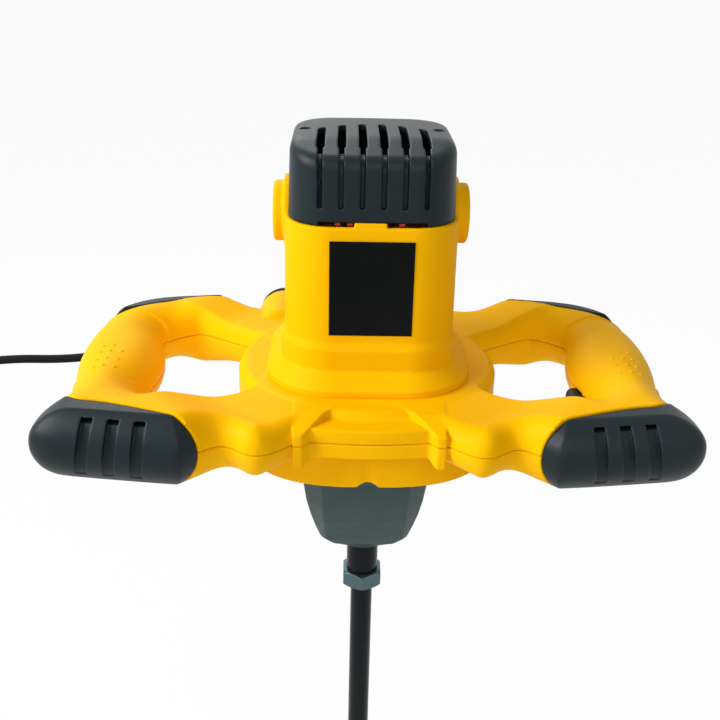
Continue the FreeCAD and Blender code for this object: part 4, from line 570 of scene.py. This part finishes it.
PAD_FRONT_START = 85.0
PAD_REAR_START = 94.0
PAD_BOW_MIDDLE = -2.0
PAD_BOW_ABOVE = 11.5
PAD_BOW_TOP = 22.0
PAD_BOW_BELOW = 7.5
PAD_BOW_BOTTOM = 15.0
PAD_GAP = 0.2
BOSS_X = -54.0
BOSS_RADIUS = 17.0
BOSS_SPAN = (60.0, 101.0)
UPPER_BORE = 46.0
LOWER_BORE = 67.3
TRIGGER_LOW = (100.0, -50.4, -12.4)
TRIGGER_HIGH = (141.0, -12.6, 0.4)
DIAL = (52.0, -4.0)
DIAL_BORE = 9.6
DIAL_SPAN = (85.2, 140.0)
BUTTON = (152.0, -18.0)
BUTTON_BORE = 5.6
BUTTON_SPAN = (-40.0, -13.0)
PARTING = 0.12


def pad_cut(x, y, z):
    """Positive inside a bumper's corner; the front ones' inner ends bow towards the hub at mid height."""
    lift = z - PAD_BOW_MIDDLE
    above = PAD_BOW_ABOVE * (lift / PAD_BOW_TOP) ** 2
    below = PAD_BOW_BELOW * (lift / PAD_BOW_BOTTOM) ** 2
    front = np.abs(x) - PAD_FRONT_START - np.where(lift > 0, above, below)
    return smooth_min(PAD_PLAN(x, y), np.where(y < 0, front, np.abs(x) - PAD_REAR_START), 1.5)


def handle_field(x, y, z):
    """Both shells in one, with the cord's boss and the openings for motor, trigger, dial and button."""
    body = ring_field(x, y, z) + seam_step(x, y, z)
    body = smooth_min(body, hub_field(x, y, z), 2.5)
    body = smooth_min(body, band_field(x, y, z), 1.2)
    boss = rod_field(np.hypot(x - BOSS_X, z), y, BOSS_RADIUS, *BOSS_SPAN, 3.5)
    body = smooth_min(body, boss, 2.0)
    body = np.maximum(body, pad_cut(x, y, z) + PAD_GAP)
    bore = np.where(z > 0, np.hypot(x, y) - UPPER_BORE, np.hypot(x, y) - LOWER_BORE)
    body = np.maximum(body, -bore)
    slot = box_field(x, y, z, TRIGGER_LOW, TRIGGER_HIGH, 1.5)
    body = smooth_max(body, -slot, 0.8)
    dial = rod_field(np.hypot(x - DIAL[0], z - DIAL[1]), y, DIAL_BORE, *DIAL_SPAN, 0.5)
    button = rod_field(np.hypot(x - BUTTON[0], y - BUTTON[1]), z, BUTTON_BORE, *BUTTON_SPAN, 0.5)
    return np.maximum(np.maximum(body, -dial), -button)


def upper_field(x, y, z):
    return smooth_max(handle_field(x, y, z), PARTING - z, 0.7)


def lower_field(x, y, z):
    return smooth_max(handle_field(x, y, z), z + PARTING, 0.7)


dress(field_mesh("handle_top", upper_field, (-181, -105, 0), (181, 105, 21), VOXEL),
      "housing", "yellow_plastic", "handle_upper_shell")
dress(field_mesh("handle_base", lower_field, (-181, -105, -34), (181, 105, 0), VOXEL),
      "housing", "yellow_plastic", "handle_lower_shell")


# Corner bumpers

PAD_SEAT = 0.1
PAD_HALF_HEIGHT = 19.6
PAD_LEAN_POWER = 2.2
FRONT_LEAN_ABOVE = 12.5
FRONT_LEAN_BELOW = 9.0
FRONT_LEAN_HEIGHT = 19.4
NOSE_SPAN = (-7.0, 1.0)
NOSE_START = 157.0
NOSE_REACH = 18.0
NOSE_STRETCH = 13.0
NOSE_HEIGHT = 16.8
NOSE_RISE = 6.2
NOSE_MIDDLE = -3.0
FRONT_SLOTS = ((114.5, 0.10), (128.0, 0.14), (141.5, 0.17))
FRONT_SLOT_HALF = 2.9
FRONT_SLOT_TOP = 16.0
FRONT_SLOT_BOTTOM = -14.0
FRONT_SLOT_DEPTH = 0.6
FRONT_SLOT_DEEPER = 3.0
FRONT_SLOT_DEEP_FROM = 8.0
POCKET_MIDDLE = 14.6
POCKET_HALF = 1.4
POCKET_DEPTH = 9.0
REAR_LEAN = 10.0
REAR_LEAN_HEIGHT = 19.5
REAR_SLOTS = (112.0, 125.0, 138.0)
REAR_SLOT_DRIFT = 0.3
REAR_SLOT_PLACE = 90.0
REAR_SLOT_HALF = 3.0
REAR_SLOT_HEIGHT = 14.0
REAR_SLOT_DEPTH = 2.4


def front_pad(x, y, z):
    """The front right bumper: a barrel face, a flat top and a round nose, with three upright slots."""
    most = np.where(z > 0, FRONT_LEAN_ABOVE, FRONT_LEAN_BELOW)
    face = most * (np.abs(z) / FRONT_LEAN_HEIGHT) ** PAD_LEAN_POWER - OUTER_PLAN(x, y)
    above = ramp(z, *NOSE_SPAN)
    along = np.maximum((x - (NOSE_START - NOSE_STRETCH * above)) / (NOSE_REACH + NOSE_STRETCH * above), 0.0)
    upright = (z - NOSE_MIDDLE) / (NOSE_HEIGHT + NOSE_RISE * above)
    nose = (np.sqrt(along ** 2 + upright ** 2) - 1.0) * NOSE_REACH
    skin = smooth_max(smooth_max(face, np.abs(z) - PAD_HALF_HEIGHT, 0.9), nose, 2.0)
    body = smooth_max(skin, PAD_SEAT - pad_cut(x, y, z), 0.8)
    deeper = FRONT_SLOT_DEEPER * ramp(z, FRONT_SLOT_BOTTOM, FRONT_SLOT_DEEP_FROM)
    for middle, drift in FRONT_SLOTS:
        across = np.abs(x - middle - drift * (FRONT_SLOT_TOP - z)) - FRONT_SLOT_HALF
        slot = np.maximum(across, np.maximum(z - FRONT_SLOT_TOP, FRONT_SLOT_BOTTOM - z))
        slot = np.maximum(slot, -face - FRONT_SLOT_DEPTH - deeper)
        pocket = np.maximum(np.maximum(across, np.abs(z - POCKET_MIDDLE) - POCKET_HALF), -face - POCKET_DEPTH)
        body = smooth_max(body, -np.minimum(slot, pocket), 0.5)
    return body


def rear_pad(x, y, z):
    """The rear right bumper: a crescent round the corner."""
    face = REAR_LEAN * (np.abs(z) / REAR_LEAN_HEIGHT) ** PAD_LEAN_POWER - OUTER_PLAN(x, y)
    skin = smooth_max(face, np.abs(z) - PAD_HALF_HEIGHT, 1.5)
    body = smooth_max(skin, PAD_SEAT - pad_cut(x, y, z), 0.8)
    for middle in REAR_SLOTS:
        across = np.abs(x - middle - REAR_SLOT_DRIFT * (REAR_SLOT_PLACE - y)) - REAR_SLOT_HALF
        slot = np.maximum(np.maximum(across, np.abs(z) - REAR_SLOT_HEIGHT), -face - REAR_SLOT_DEPTH)
        body = smooth_max(body, -slot, 0.5)
    return body


for name, field, low, high in (("front", front_pad, (82, -106, -21), (178, -50, 21)),
                               ("rear", rear_pad, (90, 36, -21), (175, 96, 21))):
    pad = field_mesh(f"bumper_{name}_right_pad", field, low, high, 0.75 * VOXEL)
    points = np.array([v.co for v in pad.data.vertices]) / MM
    faces = np.array([p.vertices[:] for p in pad.data.polygons])
    dress(pad, "housing", "dark_plastic", f"bumper_{name}_right")
    copy = mesh_object(f"bumper_{name}_left_pad", points * (-1, 1, 1), faces[:, ::-1])
    dress(copy, "housing", "dark_plastic", f"bumper_{name}_left")


# Raised dots on the grips

DOT_RADIUS = 1.35
DOT_HEIGHT = 0.85
DOT_SINK = 0.05
DOT_RINGS = (0.6, 1.0)
DOT_SIDES = 12
DOT_PLACES = [(x, y) for y in (-4.2, -12.4, -21.7, -30.6) for x in (140.8, 147.0, 152.6)][1:]
DOT_SEARCH = (5.0, 25.0)
DOT_HALVINGS = 24


def surface_point(x, y):
    """The point of the handle's upper side at a place, by halving."""
    low, high = DOT_SEARCH
    for _ in range(DOT_HALVINGS):
        middle = (low + high) / 2
        if handle_field(*np.array([[x], [y], [middle]]))[0] < 0:
            low = middle
        else:
            high = middle
    return np.array((x, y, low))


dot_points, dot_faces = [], []
for side in (-1, 1):
    for x, y in DOT_PLACES:
        spot = surface_point(side * x, y)
        along = surface_point(side * x + 1, y) - spot
        across = surface_point(side * x, y + 1) - spot
        up = np.cross(along, across)
        up /= np.linalg.norm(up)
        first = len(dot_points)
        dot_points.append(spot + DOT_HEIGHT * up)
        for share in DOT_RINGS:
            for i in range(DOT_SIDES):
                angle = 2 * math.pi * i / DOT_SIDES
                reach = DOT_RADIUS * share * (math.cos(angle) * along + math.sin(angle) * across)
                dot_points.append(spot + reach + up * (DOT_HEIGHT * (1 - share ** 3) - DOT_SINK))
        inner, outer = first + 1, first + 1 + DOT_SIDES
        for i in range(DOT_SIDES):
            after = (i + 1) % DOT_SIDES
            dot_faces.append((first, inner + i, inner + after))
            dot_faces.append((inner + i, outer + i, outer + after, inner + after))
dress(mesh_object("grip_dots", dot_points, dot_faces), "housing", "yellow_plastic")


# Motor housing

HOUSING_BOTTOM = 12.0
HOUSING_TOP = 103.0
# Each level is a height, half the width and the corner's radius
HOUSING_LEVELS = [
    (HOUSING_BOTTOM, 57.0, 38.0), (16.2, 57.0, 38.0), (24.5, 48.4, 28.0), (36.0, 48.2, 27.0),
    (40.5, 46.4, 25.3), (HOUSING_TOP, 46.1, 25.0),
]
HOLLOW_HALF = 42.9
HOLLOW_CORNER = 22.0
HOLLOW_FLOOR = 90.0
TAB_LOW = (-9.4, -45.6, 98.0)
TAB_HIGH = (7.4, -43.0, 105.3)
BRUSH_Z = 99.5
BRUSH_BASE_RADIUS = 20.0
BRUSH_BASE_SPAN = (38.0, 47.2)
BRUSH_BOSS_RADIUS = 16.5
BRUSH_BOSS_SPAN = (40.0, 53.0)
BRUSH_BORE = 8.6
BRUSH_BORE_SPAN = (46.0, 70.0)


def housing_field(x, y, z):
    """A square tower on a brim, hollow at the top, with a tab and the two brush bosses."""
    half, corner = level_values(HOUSING_LEVELS, z)
    wall = square_field(x, y, half, corner)
    body = smooth_max(wall, np.maximum(HOUSING_BOTTOM - z, z - HOUSING_TOP), 0.9)
    hollow = np.maximum(square_field(x, y, HOLLOW_HALF, HOLLOW_CORNER), HOLLOW_FLOOR - z)
    body = np.maximum(body, -hollow)
    tab = box_field(x, y, z, TAB_LOW, TAB_HIGH, 0.4)
    body = smooth_min(body, tab, 0.4)
    across = np.hypot(y, z - BRUSH_Z)
    base = rod_field(across, np.abs(x), BRUSH_BASE_RADIUS, *BRUSH_BASE_SPAN, 1.2)
    boss = rod_field(across, np.abs(x), BRUSH_BOSS_RADIUS, *BRUSH_BOSS_SPAN, 1.8)
    body = smooth_min(smooth_min(body, base, 0.8), boss, 1.2)
    return np.maximum(body, -rod_field(across, np.abs(x), BRUSH_BORE, *BRUSH_BORE_SPAN, 0.3))


dress(field_mesh("motor_shell", housing_field, (-58, -58, 12), (58, 58, 121), VOXEL),
      "housing", "yellow_plastic", "motor_housing")


# Vent cap, with the winding leads in the gap under it

CAP_BOTTOM = 103.2
CAP_TOP = 144.0
CAP_LEVELS = [(HOUSING_TOP, 44.2, 23.0), (CAP_TOP, 42.9, 22.0)]
CAP_WALL = 3.6
CROWN_BOW = 0.0003
BROW_START = -18.0
BROW_FALL = 0.267
BROW_RISE = 0.964
VENT_PITCH = 10.85
VENTS_HALF = 32.55
VENTS_REACH = 32.5
VENT_HALF = 2.1
VENT_REAR = 14.6
VENT_REAR_BOW = 0.0152
VENT_FRONT = -28.8
VENT_FLOOR = 130.0
GROOVE_HALF = 1.3
GROOVE_BOTTOM = 112.2
GROOVE_DEPTH = 2.9
GROOVE_BACK = -27.0
GAP_HALF = 28.0
GAP_TOP = 105.4
GAP_START = 20.0
BRUSH_CLEARANCE = 20.4
BRUSH_CLEARANCE_SPAN = (30.0, 70.0)
SCREW_PLACE = (36.0, 4.0)
SCREW_RADIUS = 3.1
SCREW_FLOOR = 120.0
LEAD_Y = -41.4
LEAD_Z = 104.0
LEAD_RADIUS = 1.4
LEAD_SPANS = ((-19.4, -16.2), (-13.2, -9.8), (13.2, 16.8))


def cap_outer(x, y, z):
    """The cap's outside: a square with round corners, a slightly domed top and a slope at the front."""
    half, corner = level_values(CAP_LEVELS, z)
    wall = square_field(x, y, half, corner)
    crown = z - CAP_TOP + CROWN_BOW * (x * x + y * y)
    brow = BROW_FALL * (BROW_START - y) + BROW_RISE * (z - CAP_TOP)
    return smooth_max(wall, smooth_max(crown, brow, 1.2), 6.0)


def cap_field(x, y, z):
    """A hollow cap with slots in its top that run on as grooves down its front."""
    outer = cap_outer(x, y, z)
    body = smooth_max(outer, CAP_BOTTOM - z, 0.8)
    body = np.maximum(body, -(outer + CAP_WALL))
    pitch = np.abs(np.mod(x + VENTS_HALF, VENT_PITCH) - VENT_PITCH / 2)
    rear_end = VENT_REAR - VENT_REAR_BOW * x * x
    slot = np.hypot(pitch, np.maximum(np.maximum(y - rear_end, VENT_FRONT - y), 0.0)) - VENT_HALF
    slot = np.maximum(slot, VENT_FLOOR - z)
    groove = smooth_max(pitch - GROOVE_HALF, GROOVE_BOTTOM - z, 1.0)
    groove = np.maximum(np.maximum(groove, -(outer + GROOVE_DEPTH)), y - GROOVE_BACK)
    vented = smooth_max(body, -np.minimum(slot, groove), 0.4)
    body = np.where(np.abs(x) < VENTS_REACH, vented, body)
    gap = np.maximum(np.maximum(np.abs(x) - GAP_HALF, z - GAP_TOP), GAP_START - np.abs(y))
    body = smooth_max(body, -gap, 0.4)
    across = np.hypot(y, z - BRUSH_Z)
    body = np.maximum(body, -rod_field(across, np.abs(x), BRUSH_CLEARANCE, *BRUSH_CLEARANCE_SPAN, 0.5))
    screw = np.hypot(np.abs(x) - SCREW_PLACE[0], y - SCREW_PLACE[1]) - SCREW_RADIUS
    return smooth_max(body, -np.maximum(screw, SCREW_FLOOR - z), 0.6)


def lead_field(x, y, z):
    """Ends of the winding leads behind the gap under the vent cap."""
    across = np.hypot(y - LEAD_Y, z - LEAD_Z)
    return np.min([rod_field(across, x, LEAD_RADIUS, *span, 0.9) for span in LEAD_SPANS], 0)


dress(field_mesh("vent_hood", cap_field, (-45, -45, 103), (45, 45, 145), 0.65 * VOXEL),
      "housing", "dark_plastic", "vent_cap")
dress(field_mesh("winding_leads", lead_field, (-20, -43, 102), (18, -39, 106), 0.4), "housing", "copper_wire")


# Gear case

CASE_BOTTOM = -115.0
CASE_ROOT = -30.0
# Each level is a height, half the width, half the depth, the distance of the facets and the turned radius
CASE_LEVELS = [
    (CASE_BOTTOM, 11.4, 11.4, 14.0, 11.8), (-109.0, 17.4, 17.4, 23.0, 19.6), (-101.8, 22.2, 25.8, 33.0, 30.4),
    (-101.4, 22.9, 26.5, 34.2, 31.6), (-95.0, 26.8, 29.5, 37.4, 38.4), (-88.0, 29.7, 32.2, 39.6, 46.0),
    (-80.0, 32.4, 34.8, 41.7, 60.0), (-70.0, 34.9, 37.1, 43.7, 60.0), (-55.0, 37.1, 39.4, 45.7, 60.0),
    (-33.0, 39.0, 41.0, 47.2, 60.0),
]
FLANGE_RADIUS = 70.0
FLANGE_SPAN = (-33.0, -27.5)
CASE_BORE = 10.3
CASE_BORE_SPAN = (-150.0, -98.0)


def case_field(x, y, z):
    """A tapered casting with facets at its corners, turned round at its lower end, under a round flange."""
    wide, deep, corner, turned = level_values(CASE_LEVELS, z)
    r = np.hypot(x, y)
    facet = (np.abs(x) + np.abs(y)) * DIAGONAL - corner
    body = smooth_max(smooth_max(np.abs(x) - wide, np.abs(y) - deep, 0.6), facet, 0.8)
    body = smooth_max(body, r - turned, 0.8)
    body = smooth_max(body, np.maximum(CASE_BOTTOM - z, z - CASE_ROOT), 0.6)
    body = smooth_min(body, rod_field(r, z, FLANGE_RADIUS, *FLANGE_SPAN, 0.6), 1.0)
    return np.maximum(body, -rod_field(r, z, CASE_BORE, *CASE_BORE_SPAN, 0.3))


dress(field_mesh("gear_casting", case_field, (-71, -71, -117), (71, 71, -27), VOXEL),
      "housing", "cast_case", "gear_case")


# Output spindle and lock nut

NUT_TOP = -136.4
NUT_BOTTOM = -147.0
NUT_FLATS = 24.0
NUT_BORE = 7.1
NUT_CHAMFER_FALL = 1.7
NUT_CHAMFER_SCALE = 0.5
HEX_COS = 0.5
HEX_SIN = 0.866
SHAFT_RADIUS = 7.45
SHAFT_SPAN = (-70.0, -30.0)
COLLAR_RADIUS = 9.0
COLLAR_SPAN = (-53.7, -50.5)
NECK_RADIUS = 9.95
NECK_TOP = -65.3
ROD_BORE = 7.05
ROD_BORE_SPAN = (-150.0, -91.0)


def spindle_field(x, y, z):
    """A shaft with a collar, and a thicker neck below that is bored for the rod."""
    r = np.hypot(x, y)
    shaft = rod_field(r, z, SHAFT_RADIUS, *SHAFT_SPAN, 0.3)
    collar = rod_field(r, z, COLLAR_RADIUS, *COLLAR_SPAN, 0.3)
    neck = rod_field(r, z, NECK_RADIUS, NUT_TOP, NECK_TOP, 0.4)
    body = np.minimum(np.minimum(shaft, collar), neck)
    return np.maximum(body, -rod_field(r, z, ROD_BORE, *ROD_BORE_SPAN, 0.2))


def nut_field(x, y, z):
    """A hexagon whose corners are turned off at both ends."""
    r = np.hypot(x, y)
    half = NUT_FLATS / 2
    middle = (NUT_TOP + NUT_BOTTOM) / 2
    flats = np.maximum(np.abs(x), np.abs(HEX_COS * x) + np.abs(HEX_SIN * y)) - half
    body = smooth_max(flats, np.maximum(NUT_BOTTOM - z, z - NUT_TOP), 0.25)
    chamfer = r - half + NUT_CHAMFER_FALL * (np.abs(z - middle) - (NUT_TOP - middle))
    chamfer = chamfer * NUT_CHAMFER_SCALE
    return np.maximum(smooth_max(body, chamfer, 0.2), NUT_BORE - r)


dress(field_mesh("output_neck", spindle_field, (-11, -11, -138), (11, 11, -29), 0.6 * VOXEL),
      "spindle", "black_paint", "spindle")
dress(field_mesh("rod_nut", nut_field, (-15, -15, -148), (15, 15, -135), 0.4 * VOXEL),
      "spindle", "zinc_plate", "lock_nut")


# Cord

CORD_DIAMETER = 6.5
# In metres, with the coil
SLEEVE_ROOT = np.array((BOSS_X, 103.0, 0.0))
SLEEVE_LEAN = np.array((-0.35, 0.8, -0.49))
SLEEVE_WAY = SLEEVE_LEAN / np.linalg.norm(SLEEVE_LEAN)
SLEEVE_LENGTH = 44.0
CORD_STRAIGHT = 26.0
CORD_START = SLEEVE_ROOT + SLEEVE_LENGTH * SLEEVE_WAY
CORD_ROUTE = [
    tuple(CORD_START), tuple(CORD_START + CORD_STRAIGHT * SLEEVE_WAY),
    (-100.0, 172.0, -44.0), (-136.0, 180.0, -54.0), (-180.0, 180.0, -64.0), (-226.0, 176.0, -71.5),
    (-276.0, 170.0, -68.5), (-316.0, 164.0, -74.0), (-356.0, 164.0, -74.0),
]
COIL_STEP = 7.8
COIL_INNER = 21.0
COIL_TURNS_IN = 4.0
COIL_CLIMB = 0.5
COIL_TURNS = 9.25
COIL_TAIL = 48.0
COIL_PER_TURN = 24


def tube_curve(name, points, diameter):
    """A smooth round line with these control points, in millimetres."""
    data = bpy.data.curves.new(name, "CURVE")
    data.dimensions = "3D"
    line = data.splines.new("NURBS")
    line.points.add(len(points) - 1)
    for spot, p in zip(line.points, points):
        spot.co = (*(v * MM for v in p), 1.0)
    line.order_u = 3
    line.use_endpoint_u = True
    line.resolution_u = 8
    data.bevel_depth = diameter * MM / 2
    data.bevel_resolution = 6
    data.use_fill_caps = True
    return new_object(name, data)


def coil_point(turns):
    """The put-away coil: in along one layer, over to the next in half a turn, and out again."""
    climbed = turns - COIL_TURNS_IN
    radius = COIL_INNER + COIL_STEP * (-climbed if climbed < 0 else max(0.0, climbed - COIL_CLIMB))
    radius /= math.cos(math.pi / COIL_PER_TURN)
    layer = COIL_STEP * min(1.0, max(0.0, climbed / COIL_CLIMB))
    angle = math.pi / 2 + 2.0 * math.pi * turns
    x, y, z = CORD_ROUTE[-1]
    middle = z - COIL_INNER - COIL_STEP * COIL_TURNS_IN
    return (x + radius * math.cos(angle), y + layer, middle + radius * math.sin(angle))


coil_points = [coil_point(i / COIL_PER_TURN) for i in range(int(COIL_TURNS * COIL_PER_TURN) + 1)]
last = coil_points[-1]
coil_end = (last[0], last[1], last[2] - COIL_TAIL)
cord = tube_curve("mains_cord", CORD_ROUTE[:-1] + coil_points + [coil_end], CORD_DIAMETER)
dress(cord, "housing", "black_rubber", "cord", "cord_coil")


# Floor and background

WHITE = (1.0, 1.0, 1.0, 1.0)
FLOOR_GAP = 2.0
FLOOR_HALF = 20000.0
FLOOR_GLOW = 0.93
SKY_STRENGTH = 0.34


def math_node(tree, operation):
    node = tree.nodes.new("ShaderNodeMath")
    node.operation = operation
    return node


def background_share(tree):
    """1 for rays that see the white background: from the camera, off gloss and through glass."""
    path = tree.nodes.new("ShaderNodeLightPath")
    total = math_node(tree, "MAXIMUM")
    link(tree, path, "Is Camera Ray", total, 0)
    link(tree, path, "Is Glossy Ray", total, 1)
    share = math_node(tree, "MAXIMUM")
    link(tree, total, "Value", share, 0)
    link(tree, path, "Is Transmission Ray", share, 1)
    return share


def floor_material():
    """A pale floor that nearly vanishes into the background and still takes a faint shadow."""
    material, tree, shader = new_material("pale_floor", grey(0.9), roughness=0.7, gloss=0.5)
    glow = tree.nodes.new("ShaderNodeEmission")
    glow.inputs["Color"].default_value = WHITE
    glow.inputs["Strength"].default_value = 1.0
    part = math_node(tree, "MULTIPLY")
    part.inputs[1].default_value = FLOOR_GLOW
    link(tree, background_share(tree), "Value", part, 0)
    mix = tree.nodes.new("ShaderNodeMixShader")
    link(tree, part, "Value", mix, "Fac")
    link(tree, shader, "BSDF", mix, 1)
    link(tree, glow, "Emission", mix, 2)
    link(tree, mix, "Shader", tree.nodes["Material Output"], "Surface")
    return material


floor_height = cad_low.z / MM - FLOOR_GAP
floor_corners = []
for across, along in ((-1, -1), (1, -1), (1, 1), (-1, 1)):
    floor_corners.append((across * FLOOR_HALF, along * FLOOR_HALF, floor_height))
floor = mesh_object("floor", floor_corners, [(0, 1, 2, 3)], False)
floor.data.materials.append(floor_material())

world = bpy.data.worlds.new("studio")
bpy.context.scene.world = world
world.use_nodes = True
tree = world.node_tree
sky = tree.nodes["Background"]
sky.inputs["Color"].default_value = WHITE
sky.inputs["Strength"].default_value = SKY_STRENGTH
white = tree.nodes.new("ShaderNodeBackground")
white.inputs["Color"].default_value = WHITE
mix = tree.nodes.new("ShaderNodeMixShader")
link(tree, background_share(tree), "Value", mix, "Fac")
link(tree, sky, "Background", mix, 1)
link(tree, white, "Background", mix, 2)
link(tree, mix, "Shader", tree.nodes["World Output"], "Surface")


# Lights, in metres and watts

def area_light(name, place, aim, size, power):
    data = bpy.data.lights.new(name, "AREA")
    data.energy = power
    data.size = size
    obj = new_object(name, data)
    obj.location = place
    obj.rotation_euler = (Vector(aim) - Vector(place)).to_track_quat("-Z", "Y").to_euler()


area_light("window", place=(-1.5, -0.5, 0.95), aim=(0.0, 0.0, 0.0), size=1.1, power=40.0)
area_light("front", place=(0.3, -1.7, 1.0), aim=(0.0, 0.0, 0.0), size=1.2, power=8.0)
area_light("back", place=(-0.5, 1.4, 1.3), aim=(0.0, 0.0, 0.05), size=1.0, power=11.0)


# Camera

PITCH = math.radians(24.02)
YAW = math.radians(-1.22)
ROLL = math.radians(1.26)
CAMERA_PLACE = (-15.1, -516.1, 239.9)
FOCAL_PIXELS = 959.8
PICTURE_PIXELS = 720.0
SENSOR_WIDTH = 36.0

camera = new_object("camera", bpy.data.cameras.new("camera"))
camera.data.sensor_width = SENSOR_WIDTH
camera.data.lens = FOCAL_PIXELS / PICTURE_PIXELS * SENSOR_WIDTH
camera.data.clip_start = 0.01
camera.data.clip_end = 100.0
turn = Matrix.Rotation(YAW, 3, "Z")
right = Vector((1.0, 0.0, 0.0))
above = Vector((0.0, math.sin(PITCH), math.cos(PITCH)))
ahead = turn @ Vector((0.0, math.cos(PITCH), -math.sin(PITCH)))
side = turn @ (right * math.cos(ROLL) + above * math.sin(ROLL))
up = turn @ (above * math.cos(ROLL) - right * math.sin(ROLL))
rows = [(side[i], up[i], -ahead[i], CAMERA_PLACE[i] * MM) for i in range(3)]
camera.matrix_world = Matrix((*rows, (0, 0, 0, 1)))
bpy.context.scene.camera = camera
bpy.context.scene.view_settings.view_transform = "Standard"
